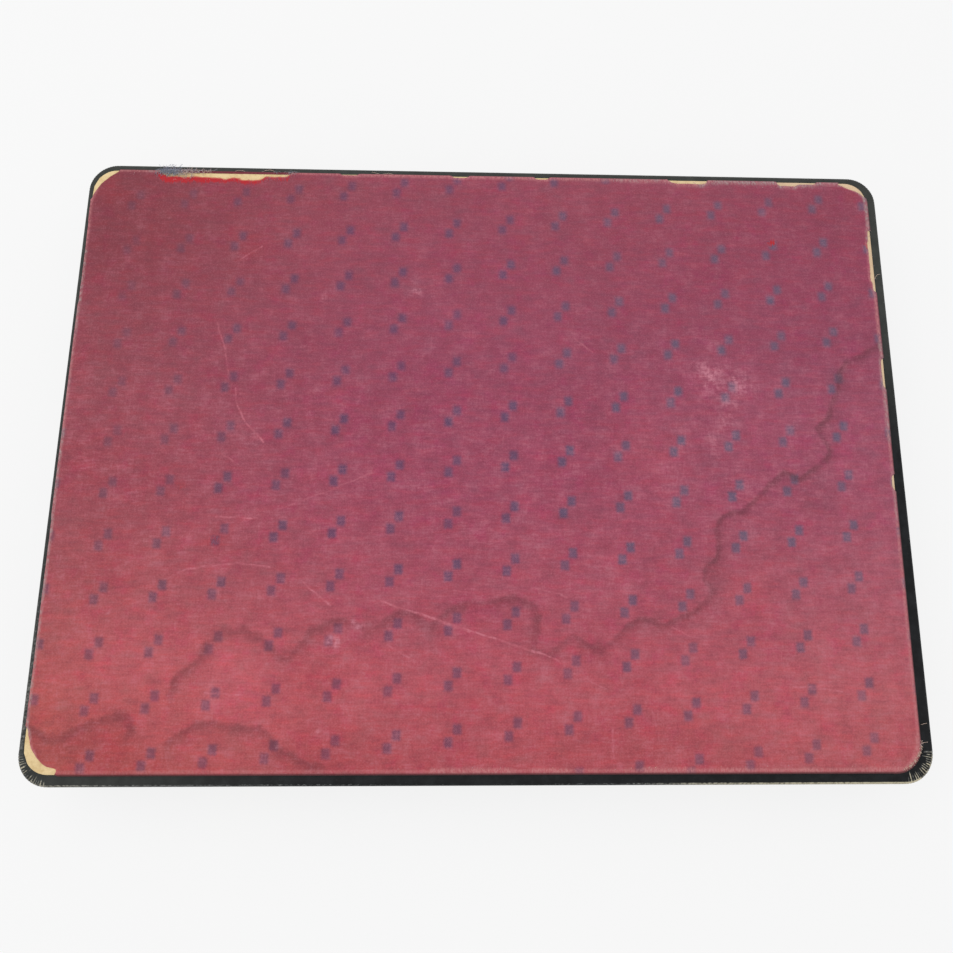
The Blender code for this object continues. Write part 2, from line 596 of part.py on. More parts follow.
def make_catches():
    for side, catch in catches().items():
        middle, direction = catch
        along, height = plate_window(catch, 0.0)
        blank = catch_box(catch, along, (PLATE_OUTER_Y, PLATE_INNER_Y), height)
        plate = solid("catch_plate_" + side, blank, "brass")
        knob_low = CATCH_Z - KNOB_HEIGHT / 2
        knob_high = CATCH_Z + KNOB_HEIGHT / 2
        cut(plate, "thumb_slot", [catch_box(catch, (KNOB_START - RUN_GAP, KNOB_END + CATCH_TRAVEL + RUN_GAP),
                                            (-REACH, 0.0), (knob_low - RUN_GAP, knob_high + RUN_GAP))])

        slide = solid("catch_slide_" + side, catch_box(catch, (BLOCK_BACK, BLOCK_FRONT),
                                                       (BLOCK_OUTER_Y, BLOCK_INNER_Y), (BLOCK_LOW, BLOCK_HIGH)),
                      "brass", origin=(middle, CATCH_Y, CATCH_Z))
        bolt_across = (CATCH_Y - BOLT_DEPTH / 2, CATCH_Y + BOLT_DEPTH / 2)
        weld(slide, "bolt", catch_box(catch, (BLOCK_FRONT - SLIDE_LENGTH / 4, 0.0), bolt_across,
                                      (BOLT_LOW, BOLT_HIGH)))
        weld(slide, "knob", catch_box(catch, (KNOB_START, KNOB_END),
                                      (PLATE_OUTER_Y + PLATE_INSET, CATCH_Y), (knob_low, knob_high)))

        keeper_top = LID_RIM_BOTTOM + KEEPER_THICKNESS
        keeper = solid("keeper_" + side, catch_box(catch, (HOOK_TOE_START, HOOK_STEM_END + HOOK_WIDTH),
                                                   (CATCH_Y - HOOK_THICKNESS, KEEPER_INNER_Y),
                                                   (LID_RIM_BOTTOM, keeper_top)), "brass", parent=lid_axis)
        across = (CATCH_Y - HOOK_THICKNESS / 2, CATCH_Y + HOOK_THICKNESS / 2)
        stem_top = LID_RIM_BOTTOM + KEEPER_THICKNESS / 2
        weld(keeper, "stem", catch_box(catch, (HOOK_STEM_START, HOOK_STEM_END), across, (BLOCK_LOW, stem_top)))
        weld(keeper, "toe", catch_box(catch, (HOOK_TOE_START, HOOK_STEM_START + HOOK_WIDTH / 2), across,
                                      (BLOCK_LOW, TOE_HIGH)))
        x, y = stud_place(catch)
        weld(keeper, "stud", rod((x, y, stem_top), (x, y, LID_RIM_BOTTOM + KEEPER_STUD_LENGTH),
                                 KEEPER_STUD_RADIUS, SCREW_STEPS))


def cell(column, row):
    middle = (GRID_CELLS - 1) / 2
    return (column - middle) * GRID_PITCH, (row - middle) * GRID_PITCH


def peg_holes(low, high):
    cells = [cell(column, row) for column in range(GRID_CELLS) for row in range(GRID_CELLS)]
    return [rod((x, y, low), (x, y, high), PEG_HOLE_RADIUS, PEG_HOLE_STEPS) for x, y in cells]


def make_boards():
    half_depth = INNER_HALF_DEPTH - SEAT_GAP
    half_width = INNER_HALF_WIDTH - SEAT_GAP
    ocean = solid("ocean_board", box((-OCEAN_HALF_WIDTH, -half_depth, OCEAN_BOTTOM),
                                     (OCEAN_HALF_WIDTH, half_depth, OCEAN_TOP)), "pegboard")
    cut(ocean, "peg_holes", peg_holes(FLOOR_TOP, PARTING))
    for end, low, high in (("front", -half_depth, -half_depth + CLEAT_WIDTH),
                           ("back", half_depth - CLEAT_WIDTH, half_depth)):
        solid("ocean_cleat_" + end, box((-OCEAN_HALF_WIDTH, low, BASE_RIM_BOTTOM),
                                        (OCEAN_HALF_WIDTH, high, OCEAN_BOTTOM - SEAT_GAP)), "rim_wood")

    target = solid("target_board", box((-half_width, -half_depth, TARGET_BOTTOM),
                                       (half_width, half_depth, TARGET_TOP)), "pegboard", parent=lid_axis)
    cut(target, "peg_holes", peg_holes(PARTING, LID_RIM_TOP))
    for side, low, high in (("left", -half_width, -half_width + LEDGER_WIDTH),
                            ("right", half_width - LEDGER_WIDTH, half_width)):
        solid("target_ledger_" + side, box((low, -half_depth, TARGET_TOP + SEAT_GAP),
                                           (high, half_depth, LID_RIM_TOP)), "rim_wood", parent=lid_axis)


def make_peg_bays():
    half_depth = INNER_HALF_DEPTH - SEAT_GAP
    groove_low = FLOOR_TOP + BAY_DEPTH
    groove_high = groove_low + COVER_THICKNESS + RUN_GAP
    rail_top = groove_high + RAIL_ABOVE_GROOVE
    divider_x = OCEAN_HALF_WIDTH + SEAT_GAP
    bay_x = divider_x + DIVIDER_THICKNESS
    runner_end_x = INNER_HALF_WIDTH - SEAT_GAP
    runner_x = runner_end_x - RUNNER_THICKNESS
    cover_end = half_depth - COVER_TRAVEL - RUN_GAP
    deck_top = groove_low - SEAT_GAP
    deck_low = deck_top - DECK_THICKNESS
    deck_front = cover_end - PARTITION_THICKNESS
    for side, sign in (("left", -1.0), ("right", 1.0)):

        def bay_box(across, along, height):
            ends = sorted(sign * x for x in across)
            return box((ends[0], along[0], height[0]), (ends[1], along[1], height[1]))

        full = (-half_depth, half_depth)
        past = (-CASE_DEPTH, CASE_DEPTH)
        rail = (BASE_RIM_BOTTOM, rail_top)
        divider = solid("bay_divider_" + side, bay_box((divider_x, bay_x), full, rail), "rim_wood")
        cut(divider, "groove", [bay_box((bay_x - GROOVE_DEPTH, HALF_WIDTH), past, (groove_low, groove_high))])
        runner = solid("bay_runner_" + side, bay_box((runner_x, runner_end_x), full, rail), "rim_wood")
        cut(runner, "groove", [bay_box((divider_x, runner_x + GROOVE_DEPTH), past, (groove_low, groove_high))])

        inner_x = bay_x - GROOVE_DEPTH + RUN_GAP
        outer_x = runner_x + GROOVE_DEPTH - RUN_GAP
        level = groove_low + RUN_GAP / 2
        cover_front = -half_depth + RUN_GAP
        middle = sign * (inner_x + outer_x) / 2
        cover = solid("bay_cover_" + side, bay_box((inner_x, outer_x), (cover_front, cover_end),
                                                   (level, level + COVER_THICKNESS)), "plywood",
                      origin=(middle, cover_front, level))
        notch = cover_front + COVER_NOTCH_INSET
        reach = COVER_NOTCH_LENGTH / 2
        cut(cover, "thumb_notch", [box((middle - reach, notch, 0.0),
                                       (middle + reach, notch + COVER_NOTCH_WIDTH, CLOTH_TOP))])

        deck_across = (bay_x + SEAT_GAP, runner_x - SEAT_GAP)
        deck = bay_box(deck_across, (deck_front, half_depth), (deck_low, deck_top))
        solid("bay_deck_" + side, deck, "plywood")
        solid("bay_partition_" + side, bay_box(deck_across, (deck_front, cover_end),
                                               (BASE_RIM_BOTTOM, deck_low - SEAT_GAP)), "rim_wood")


def ship_outline(length):
    # Stern, after quarter, shoulder and bow on one side, then the same points back along the other side
    beam = SHIP_BEAM / 2
    side = ((-length / 2, 0.6 * beam), (-length / 2 + 0.8 * beam, beam), (length / 2 - 2.6 * beam, beam),
            (length / 2 - 1.0 * beam, 0.55 * beam))
    mirrored = [(x, -y) for x, y in reversed(side)]
    return [*side, (length / 2, 0.0), *mirrored]


def make_ships():
    hull_low = OCEAN_TOP + SEAT_GAP
    deck = hull_low + HULL_HEIGHT
    for name, cells, column, row, upright in SHIPS:
        length = (cells - 1) * GRID_PITCH + 2 * SHIP_END
        first_x, first_y = cell(column, row)
        half = (cells - 1) * GRID_PITCH / 2
        stations = [index * GRID_PITCH - half for index in range(cells)]
        shapes = {"hull": slab(ship_outline(length), hull_low, deck)}
        # Cabins stand between the peg holes, clear of the bow's own cell
        cabins = [box((x + GRID_PITCH / 2 - CABIN_LENGTH / 2, -CABIN_BEAM / 2, deck - SEAT_GAP),
                      (x + GRID_PITCH / 2 + CABIN_LENGTH / 2, CABIN_BEAM / 2, deck + CABIN_HEIGHT))
                  for x in stations[:max(1, cells - 2)]]
        shapes["cabins"] = together(cabins)
        shapes["plugs"] = together([rod((x, 0.0, OCEAN_TOP - PLUG_LENGTH), (x, 0.0, hull_low + SEAT_GAP),
                                        PLUG_RADIUS, PEG_HOLE_STEPS) for x in (stations[0], stations[-1])])
        shapes["holes"] = together([rod((x, 0.0, deck - SHIP_HOLE_DEPTH), (x, 0.0, PARTING),
                                        PEG_HOLE_RADIUS, PEG_HOLE_STEPS) for x in stations])
        turn = Matrix.Rotation(math.radians(90.0 if upright else 0.0), 4, "Z")
        middle = (first_x + (0.0 if upright else half), first_y + (half if upright else 0.0), 0.0)
        for shape in shapes.values():
            bmesh.ops.transform(shape, matrix=Matrix.Translation(middle) @ turn, verts=shape.verts)
        ship = solid(name, shapes["hull"], "grey_paint", origin=(middle[0], middle[1], hull_low))
        weld(ship, "cabins", shapes["cabins"])
        weld(ship, "plugs", shapes["plugs"])
        boolean(ship, "holes", shapes["holes"], "DIFFERENCE")


def make_pegs():
    shoulder = 0.55 * PEG_HEAD_HEIGHT
    tip = -PLUG_LENGTH - SEAT_GAP
    profile = ((0.0, PEG_HEAD_HEIGHT), (0.6 * PEG_HEAD_RADIUS, 0.92 * PEG_HEAD_HEIGHT),
               (PEG_HEAD_RADIUS, shoulder), (0.8 * PEG_HEAD_RADIUS, 0.0), (PLUG_RADIUS, 0.0),
               (PLUG_RADIUS, tip), (0.0, tip))
    for name, material, column, row in PEGS:
        x, y = cell(column, row)
        lathe(name, profile, material, (x, y, OCEAN_TOP + SEAT_GAP), PEG_STEPS)


make_base_shell()
make_lid_shell()
make_cloth_panel()
make_hinges()
make_catches()
make_boards()
make_peg_bays()
make_ships()
make_pegs()

print("parts", len([piece for piece in case_parts.objects if piece.type == "MESH"]))
print("height", round(CLOTH_TOP, 5), "lift of ships and pegs", round(PLUG_LENGTH + LIFT_SPARE, 5))
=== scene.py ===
import math
import bpy
import numpy as np
from mathutils import Matrix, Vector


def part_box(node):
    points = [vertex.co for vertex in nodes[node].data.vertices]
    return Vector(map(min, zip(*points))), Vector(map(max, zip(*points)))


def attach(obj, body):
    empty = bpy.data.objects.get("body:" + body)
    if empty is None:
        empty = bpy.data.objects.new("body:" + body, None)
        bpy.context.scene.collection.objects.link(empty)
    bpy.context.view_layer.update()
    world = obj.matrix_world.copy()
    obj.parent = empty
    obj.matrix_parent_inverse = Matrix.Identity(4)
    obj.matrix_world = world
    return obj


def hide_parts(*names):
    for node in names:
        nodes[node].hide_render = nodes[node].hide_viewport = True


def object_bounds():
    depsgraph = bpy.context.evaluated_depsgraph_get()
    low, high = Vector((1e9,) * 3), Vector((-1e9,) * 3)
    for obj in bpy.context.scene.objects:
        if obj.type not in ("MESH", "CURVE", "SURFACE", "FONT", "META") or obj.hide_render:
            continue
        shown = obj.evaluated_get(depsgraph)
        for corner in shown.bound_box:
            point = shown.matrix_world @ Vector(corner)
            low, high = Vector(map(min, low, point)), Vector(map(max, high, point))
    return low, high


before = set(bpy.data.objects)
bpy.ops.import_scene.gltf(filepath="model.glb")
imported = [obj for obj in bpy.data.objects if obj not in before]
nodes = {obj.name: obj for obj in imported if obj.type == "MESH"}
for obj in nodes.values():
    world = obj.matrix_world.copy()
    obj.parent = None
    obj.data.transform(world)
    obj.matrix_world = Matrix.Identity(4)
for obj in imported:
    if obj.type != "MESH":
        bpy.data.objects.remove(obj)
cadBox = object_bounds()
mm = 0.001
print("frame:", len(nodes), "nodes")

# The photograph's camera: focal length and optical axis in picture pixels, turns in degrees, place in metres
shot = dict(size=953, focal=800.0, axis=(28.6, -45.5), tilt=12.473, swing=-1.672, roll=0.514,
            place=(-0.0018, -0.0678, 0.3899))


def cameraAxes():
    # rows are the camera's right, down and forward: a turn about x, then one about y, then one about z
    a, b, c = np.radians([180 - shot["tilt"], shot["swing"], shot["roll"]])
    aboutX = np.array([[1, 0, 0], [0, np.cos(a), -np.sin(a)], [0, np.sin(a), np.cos(a)]])
    aboutY = np.array([[np.cos(b), 0, np.sin(b)], [0, 1, 0], [-np.sin(b), 0, np.cos(b)]])
    aboutZ = np.array([[np.cos(c), -np.sin(c), 0], [np.sin(c), np.cos(c), 0], [0, 0, 1]])
    return aboutZ @ aboutY @ aboutX


def fromPhoto(pixels, level):
    # where the rays through picture pixels meet the plane z = level, in metres
    away = np.atleast_2d(np.asarray(pixels, float)) - shot["size"] / 2 - np.array(shot["axis"])
    rays = np.c_[away / shot["focal"], np.ones(len(away))] @ cameraAxes()
    place = np.array(shot["place"])
    return place[:2] + rays[:, :2] * ((level - place[2]) / rays[:, 2:])


def setCamera():
    # the matrix has the camera's axes as columns; the shift puts the optical axis off the picture's middle
    right, down, forward = cameraAxes()
    lens = bpy.data.cameras.new("camera")
    lens.sensor_width = 36.0
    lens.lens = 36.0 * shot["focal"] / shot["size"]
    lens.shift_x = -shot["axis"][0] / shot["size"]
    lens.shift_y = shot["axis"][1] / shot["size"]
    lens.clip_start = 0.01
    camera = bpy.data.objects.new("camera", lens)
    rows = [[right[i], -down[i], -forward[i], shot["place"][i]] for i in range(3)]
    camera.matrix_world = Matrix(rows + [[0, 0, 0, 1]])
    bpy.context.scene.collection.objects.link(camera)
    bpy.context.scene.camera = camera


setCamera()
print("camera set")


# Finishes

def srgb(red, green, blue):
    # a picture colour, 0 to 255, as the linear colour that a shader takes
    c = np.array([red, green, blue]) / 255
    linear = np.where(c <= 0.04045, c / 12.92, ((c + 0.055) / 1.055) ** 2.4)
    return (float(linear[0]), float(linear[1]), float(linear[2]), 1.0)


def grey(level):
    # an even grey as a shader's colour
    return (level, level, level, 1.0)


class Nodes:
    # short calls for a node tree: a value is a number, a colour or another node's output
    def __init__(self, tree):
        self.tree = tree

    def put(self, socket, value):
        # links an output to a socket, or sets the socket's own value
        if isinstance(value, bpy.types.NodeSocket):
            self.tree.links.new(value, socket)
        else:
            socket.default_value = value

    def node(self, kind, values=None, **settings):
        # a new node with its settings, and its inputs by name or number
        made = self.tree.nodes.new("ShaderNode" + kind)
        for key, value in settings.items():
            setattr(made, key, value)
        for key, value in (values or {}).items():
            self.put(made.inputs[key], value)
        return made

    def maths(self, operation, a, b=0.0, c=0.0):
        # one operation on up to three values
        return self.node("Math", {0: a, 1: b, 2: c}, operation=operation).outputs[0]

    def plus(self, a, b):
        # a and b added
        return self.maths("ADD", a, b)

    def minus(self, a, b):
        # a less b
        return self.maths("SUBTRACT", a, b)

    def times(self, a, b):
        # a times b
        return self.maths("MULTIPLY", a, b)

    def timesPlus(self, a, b, c):
        # a times b, and c added
        return self.maths("MULTIPLY_ADD", a, b, c)

    def larger(self, a, b):
        # whichever of a and b is larger
        return self.maths("MAXIMUM", a, b)

    def weighted(self, a, aShare, b, bShare):
        # the sum of two values, each times its share
        return self.plus(self.times(a, aShare), self.times(b, bShare))

    def seen(self):
        # 1 for rays from the camera, also by way of gloss or glass, and 0 for light on other surfaces
        rays = self.node("LightPath").outputs
        return self.larger(self.larger(rays["Is Camera Ray"], rays["Is Glossy Ray"]),
                           rays["Is Transmission Ray"])


class Finish(Nodes):
    # a material with short calls for its patterns; spot is the place on the object in millimetres
    def __init__(self, name):
        self.material = bpy.data.materials.new(name)
        self.material.use_nodes = True
        super().__init__(self.material.node_tree)
        self.shader = self.tree.nodes["Principled BSDF"]
        self.spot = self.vector("SCALE", self.node("TexCoord").outputs["Object"], scale=1 / mm)

    def vector(self, operation, a, b=(0.0, 0.0, 0.0), scale=1.0, output=0):
        # output 0 is a vector, and 1 a number
        return self.node("VectorMath", {0: a, 1: b, 3: scale}, operation=operation).outputs[output]

    def split(self, vector):
        # a vector's x, y and z
        return self.node("SeparateXYZ", {0: vector}).outputs[:3]

    def attribute(self, name):
        # a value that is kept on the mesh's points
        return self.node("Attribute", attribute_name=name).outputs["Fac"]

    def noise(self, size, detail=3.0, rough=0.55, stretch=(1.0, 1.0, 1.0), seed=0.0):
        # noise whose blobs are about size millimetres across, longer along each direction by its stretch
        scaled = self.vector("DIVIDE", self.spot, tuple(size * s for s in stretch))
        moved = self.vector("ADD", scaled, (seed * 7.3, seed * 3.1, seed * 5.7))
        values = {"Vector": moved, "Scale": 1.0, "Detail": detail, "Roughness": rough}
        return self.node("TexNoise", values).outputs[0]

    def level(self, value, low, high, start=0.0, end=1.0):
        # start up to low, end from high on, and a smooth step between
        ends = {0: value, 1: low, 2: high, 3: start, 4: end}
        return self.node("MapRange", ends, interpolation_type="SMOOTHSTEP").outputs[0]

    def ramp(self, value, stops):
        # straight steps of colour between stops of (place, colour)
        made = self.node("ValToRGB", {0: value})
        ramp = made.color_ramp
        for place, _ in stops[2:]:
            ramp.elements.new(place)
        for element, (place, colour) in zip(ramp.elements, stops):
            element.position = place
            element.color = colour
        return made.outputs[0]

    def mix(self, factor, a, b):
        # a at factor 0, b at factor 1
        return self.node("Mix", {0: factor, 6: a, 7: b}, data_type="RGBA").outputs[2]

    def tinted(self, colour, amount, tint):
        # the colour moved by amount towards itself times a tint
        return self.mix(amount, colour, self.vector("MULTIPLY", colour, tint))

    def shade(self, colour, *terms):
        # the colour times 1 plus each (noise, amount) pair's noise, less a half, times its amount
        total = 1.0
        for value, amount in terms:
            total = self.plus(total, self.times(self.minus(value, 0.5), amount))
        return self.vector("SCALE", colour, scale=total)

    def done(self, colour, rough, height=None, bump=0.3, depth=0.2, **sockets):
        # fills the shader's sockets; depth is the height's full swing in millimetres
        self.put(self.shader.inputs["Base Color"], colour)
        self.put(self.shader.inputs["Roughness"], rough)
        if height is not None:
            made = self.node("Bump", {"Strength": bump, "Distance": depth * mm, "Height": height})
            self.put(self.shader.inputs["Normal"], made.outputs[0])
        for key, value in sockets.items():
            self.put(self.shader.inputs[key.replace("_", " ")], value)
        return self.material


# Shapes

def makePiece(name, points, faces, body, material, replaces=(), sharp=None, values=None):
    # one mesh object from an array of points and one or more arrays of faces; values are kept on its points
    groups = faces if isinstance(faces, list) else [faces]
    corners = np.concatenate([g.ravel() for g in groups]).astype(np.int32)
    counts = np.concatenate([np.full(len(g), g.shape[1]) for g in groups])
    points = np.asarray(points, np.float32).reshape(-1, 3)
    mesh = bpy.data.meshes.new(name)
    mesh.vertices.add(len(points))
    mesh.vertices.foreach_set("co", points.ravel())
    mesh.loops.add(len(corners))
    mesh.loops.foreach_set("vertex_index", corners)
    mesh.polygons.add(len(counts))
    mesh.polygons.foreach_set("loop_start", (np.cumsum(counts) - counts).astype(np.int32))
    mesh.update(calc_edges=True)
    mesh.validate()
    mesh.polygons.foreach_set("use_smooth", np.ones(len(mesh.polygons), bool))
    if sharp is not None:
        mesh.set_sharp_from_angle(angle=math.radians(sharp))
    for key, value in (values or {}).items():
        kept = mesh.attributes.new(key, "FLOAT", "POINT")
        kept.data.foreach_set("value", np.asarray(value, np.float32).ravel())
    mesh.materials.append(material)
    piece = bpy.data.objects.new(name, mesh)
    bpy.context.scene.collection.objects.link(piece)
    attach(piece, body)
    if replaces:
        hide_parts(*replaces)
    return piece


def gridFaces(rows, columns, wrap=False, first=0):
    # the quads of a grid of points, row by row; wrap joins the last column to the first
    index = np.arange(rows * columns).reshape(rows, columns) + first
    left = index if wrap else index[:, :-1]
    right = np.roll(index, -1, 1) if wrap else index[:, 1:]
    return np.stack([left[:-1], right[:-1], right[1:], left[1:]], -1).reshape(-1, 4)


def fanFaces(ring, middle):
    # triangles from each pair of neighbours on a ring to a middle point
    return np.stack([ring, np.roll(ring, -1), np.full(len(ring), middle)], -1)


def smoothStep(value):
    # 3t^2 - 2t^3 of the value held between 0 and 1
    t = np.clip(value, 0, 1)
    return t * t * (3 - 2 * t)


def between(value, low, high, ramp):
    # 1 from low to high, falling smoothly to 0 over the ramp outside
    return smoothStep(np.minimum(value - low, high - value) / ramp + 1)


def ragged(along, grain, seed):
    # value noise on a line: seeded numbers a grain apart, joined smoothly, from 0 to 1
    table = np.random.default_rng(seed).random(4096)
    cell = np.floor(along / grain).astype(int)
    t = smoothStep(along / grain - cell)
    return table[cell % 4096] * (1 - t) + table[(cell + 1) % 4096] * t


def runStops(box, radius):
    # distances at which a rounded rectangle's straights and corners start, in turn, and the last one ends
    xLow, yLow, xHigh, yHigh = box
    wide, deep, quarter = xHigh - xLow - 2 * radius, yHigh - yLow - 2 * radius, radius * np.pi / 2
    return np.cumsum([0, wide, quarter, deep, quarter, wide, quarter, deep, quarter])


def roundedRun(box, radius, run):
    # points and outward directions at distances run along a rounded rectangle (x low, y low, x high, y high),
    # anticlockwise from the end of the front left corner: four straights, each followed by a quarter circle
    xLow, yLow, xHigh, yHigh = box
    stops = runStops(box, radius)[:-1]
    piece = np.searchsorted(stops, run, side="right") - 1
    along = run - stops[piece]
    side = piece // 2
    turning = piece % 2 == 1
    angle = side * np.pi / 2 - np.pi / 2 + np.where(turning, along / radius, 0)
    outward = np.stack([np.cos(angle), np.sin(angle)], -1)
    centres = np.array([(xHigh - radius, yLow + radius), (xHigh - radius, yHigh - radius),
                        (xLow + radius, yHigh - radius), (xLow + radius, yLow + radius)])
    starts = np.array([(xLow + radius, yLow), (xHigh, yLow + radius), (xHigh - radius, yHigh),
                       (xLow, yHigh - radius)])
    ahead = np.stack([-outward[:, 1], outward[:, 0]], -1)
    straight = starts[side] + ahead * along[:, None]
    corner = centres[side] + outward * radius
    return np.where(turning[:, None], corner, straight), outward


def runSteps(box, radius, straightStep, cornerStep, also=()):
    # distances along the outline: straights and corners each in even steps, with any others asked for
    stops = runStops(box, radius)
    parts = [np.linspace(a, b, max(2, int((b - a) / (cornerStep if i % 2 else straightStep))), endpoint=False)
             for i, (a, b) in enumerate(zip(stops[:-1], stops[1:]))]
    return np.unique(np.round(np.concatenate(parts + [np.asarray(also, float)]), 7))


def nodeBox(name):
    # a CAD node's outline (x low, y low, x high, y high), and its lowest and highest level
    low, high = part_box(name)
    return (low[0], low[1], high[0], high[1]), low[2], high[2]


def middleOf(box):
    # halfway between the low and the high sides
    return (box[0] + box[2]) / 2, (box[1] + box[3]) / 2


# The lid's cloth panel; its routes and spots are read off the photograph, in its pixels
panel = dict(
    radius=0.0113, top=0.0390, cardTop=0.03835, step=0.00125,
    give=0.014,  # depth of the rows that a tear bends
    trim=(0.3, 1.25, 0.0, 0.75),  # mm cut off cloth and card on the left, in front, on the right and behind
    turnedIn=1.5,  # mm of cloth along each side that turn down
    inset=dict(left=0.5, right=1.6, front=1.9, back=1.0),  # mm from the turned-down edge in to the flat top
    drawn=[(355, 0.0), (440, 0.5), (600, 0.9), (740, 1.2)],  # mm that the right side lies in, by picture row
    # the turned-down skirt's three rings: share of the reach outwards, and how far past the edge they count,
    # which sets how dark their painted shade is
    skirtReach=(0.45, 0.86, 1.0), skirtPast=(-0.25, -0.65, -1.2))


def trimmed(box):
    # an outline less the trim on each side
    left, front, right, back = panel["trim"]
    return box[0] + left * mm, box[1] + front * mm, box[2] - right * mm, box[3] - back * mm


panelBox, panelLow = nodeBox("red_cloth")[:2]
panelBox = trimmed(panelBox)
marks = dict(
    # a tide line's route, and the unmarked way round that closes its wet side
    tide=[(884, 341), (876, 345), (861, 355), (847, 360), (839, 371), (837, 388), (831, 403), (827, 418),
          (816, 428), (824, 443), (829, 453), (825, 459), (814, 468), (800, 478), (792, 474), (784, 470),
          (772, 482), (757, 496), (742, 511), (730, 512), (718, 521), (715, 529), (718, 541), (716, 557),
          (705, 567), (703, 579), (711, 590), (706, 601), (695, 610), (680, 617), (665, 625), (653, 619),
          (639, 618), (626, 627), (614, 639), (600, 649), (586, 643), (573, 634), (559, 645), (548, 654),
          (534, 648), (538, 635), (540, 615), (533, 602), (514, 596), (489, 602), (468, 603), (448, 608),
          (439, 617), (429, 627), (419, 617), (408, 611), (396, 613), (381, 623), (367, 631), (354, 621),
          (332, 619), (321, 626), (311, 628), (299, 646), (287, 658), (274, 650), (264, 641), (255, 633),
          (243, 628), (233, 630), (223, 627), (214, 638), (202, 646), (200, 656), (190, 666), (176, 676),
          (171, 688), (164, 703)],
    tideEnd=[(156, 735), (140, 790), (60, 790), (60, 860), (990, 860), (990, 330)],
    corner=[(24, 722), (35, 730), (45, 735), (55, 738), (68, 733), (80, 726), (97, 720), (117, 714),
            (126, 716), (131, 720), (134, 729), (132, 740)],
    cornerEnd=[(120, 800), (0, 820), (0, 722)],
    front=[(160, 746), (168, 740), (179, 734), (193, 724), (215, 721), (232, 726), (248, 728), (260, 727),
           (270, 737), (285, 752), (309, 764), (330, 768)],
    frontEnd=[(330, 820), (150, 820)],
    # spots as (x, y, reach in mm, amount)
    blotch=[(712, 572, 4.8, 0.46), (792, 657, 4, 0.18), (818, 500, 8, 0.16), (370, 628, 3.5, 0.3),
            (660, 620, 3, 0.3), (598, 647, 3.5, 0.25), (535, 640, 3.5, 0.25), (284, 655, 3, 0.25),
            (215, 636, 4, 0.22), (840, 380, 3.5, 0.3)],
    scuff=[(417, 291, 2.4, 0.8), (414, 284, 1.4, 0.5), (325, 297, 1.7, 0.5), (328, 292, 1.0, 0.4),
           (712, 378, 7, 0.75), (728, 398, 7, 0.42), (703, 372, 5, 0.55), (741, 383, 6, 0.68),
           (728, 420, 5, 0.45), (703, 425, 7, 0.12), (712, 440, 6, 0.3), (655, 420, 12, 0.03),
           (690, 470, 14, 0.08), (331, 640, 2.0, 0.75), (338, 642, 2.2, 0.9), (353, 622, 1.2, 0.6),
           (358, 627, 1.2, 0.7), (318, 733, 0.9, 0.8), (320, 738, 0.9, 0.7), (712, 345, 3, 0.4),
           (640, 380, 14, 0.06), (575, 330, 14, 0.05), (108, 612, 0.8, 0.5), (212, 690, 4, 0.25),
           (278, 748, 1.0, 0.5), (600, 590, 10, 0.08), (160, 430, 14, 0.04), (238, 425, 7, 0.12)],
    reddened=[(64, 300, 4, 0.35), (72, 270, 5, 0.2), (72, 360, 7, 0.2), (90, 470, 14, 0.18),
              (160, 480, 18, 0.12), (215, 540, 7, 0.3), (225, 535, 3, 0.3), (120, 560, 16, 0.14),
              (250, 247, 9, 0.25), (112, 192, 7, 0.3), (150, 230, 12, 0.12), (110, 752, 20, 0.3),
              (330, 765, 16, 0.2), (325, 680, 14, 0.2), (775, 560, 12, 0.12), (851, 197, 3.5, 0.3),
              (180, 485, 3, 0.3), (745, 600, 14, 0.15)],
    washed=[(240, 682, 30, 0.50), (135, 660, 28, 0.42), (345, 690, 22, 0.26), (155, 722, 14, 0.35),
            (752, 592, 9, 0.30), (650, 455, 16, 0.20), (800, 690, 30, 0.15), (170, 585, 26, 0.20)],
    specks=[(772, 243, 1.8, 1.0), (866, 246, 1.2, 0.7), (716, 178, 0.9, 0.5), (181, 486, 1.6, 0.3),
            (214, 540, 2.2, 0.3)],
    # scratches as (x, y) at both ends and an amount
    scratches=[(381, 601, 559, 660, 0.9), (398, 607, 470, 632, 0.7), (430, 618, 540, 653, 0.9),
               (303, 583, 330, 606, 0.9), (178, 572, 203, 566, 0.7), (203, 566, 236, 563, 0.6),
               (236, 563, 270, 567, 0.8), (204, 694, 242, 695, 0.8), (534, 588, 568, 597, 0.6),
               (387, 645, 410, 658, 0.55), (574, 673, 608, 690, 0.4), (612, 729, 614, 758, 0.5),
               (793, 686, 828, 687, 0.6), (812, 689, 843, 692, 0.6), (672, 628, 703, 640, 0.6),
               (217, 322, 224, 346, 0.5), (224, 346, 229, 373, 0.5), (235, 388, 236, 405, 0.5),
               (236, 405, 247, 424, 0.7), (247, 424, 263, 442, 0.9), (216, 517, 257, 518, 0.9),
               (273, 511, 332, 489, 0.35), (332, 489, 373, 473, 0.4), (222, 455, 238, 464, 0.4),
               (241, 259, 262, 246, 0.6), (575, 338, 592, 352, 0.4), (735, 495, 752, 504, 0.4),
               (650, 700, 660, 742, 0.3)])
weave = dict(
    across=(25.29, 2.44), along=(-0.345, 22.9), first=(10.35, 18.92),  # mm from pair to pair, and the first
    bow=(0.039, -0.0175, 0.013, -0.0059),  # how the rows bow, by i*i, i*j, j*j and i*i*i
    tight=3.3e-7,  # how the pairs crowd away from the first one
    offset=(1.85, 2.65), half=(1.85, 2.2),  # mm: a square's place in its pair, and half its size
    blur=(1.4, 0.95),  # mm that its edge fades over, behind and in front
    thread=0.84, check=0.94,  # mm from thread to thread, and across the fine check in a square
    strength=[(0.0, grey(0.68)), (0.2, grey(0.74)), (0.42, grey(0.92)), (0.65, grey(0.85)),
              (0.95, grey(0.75))])


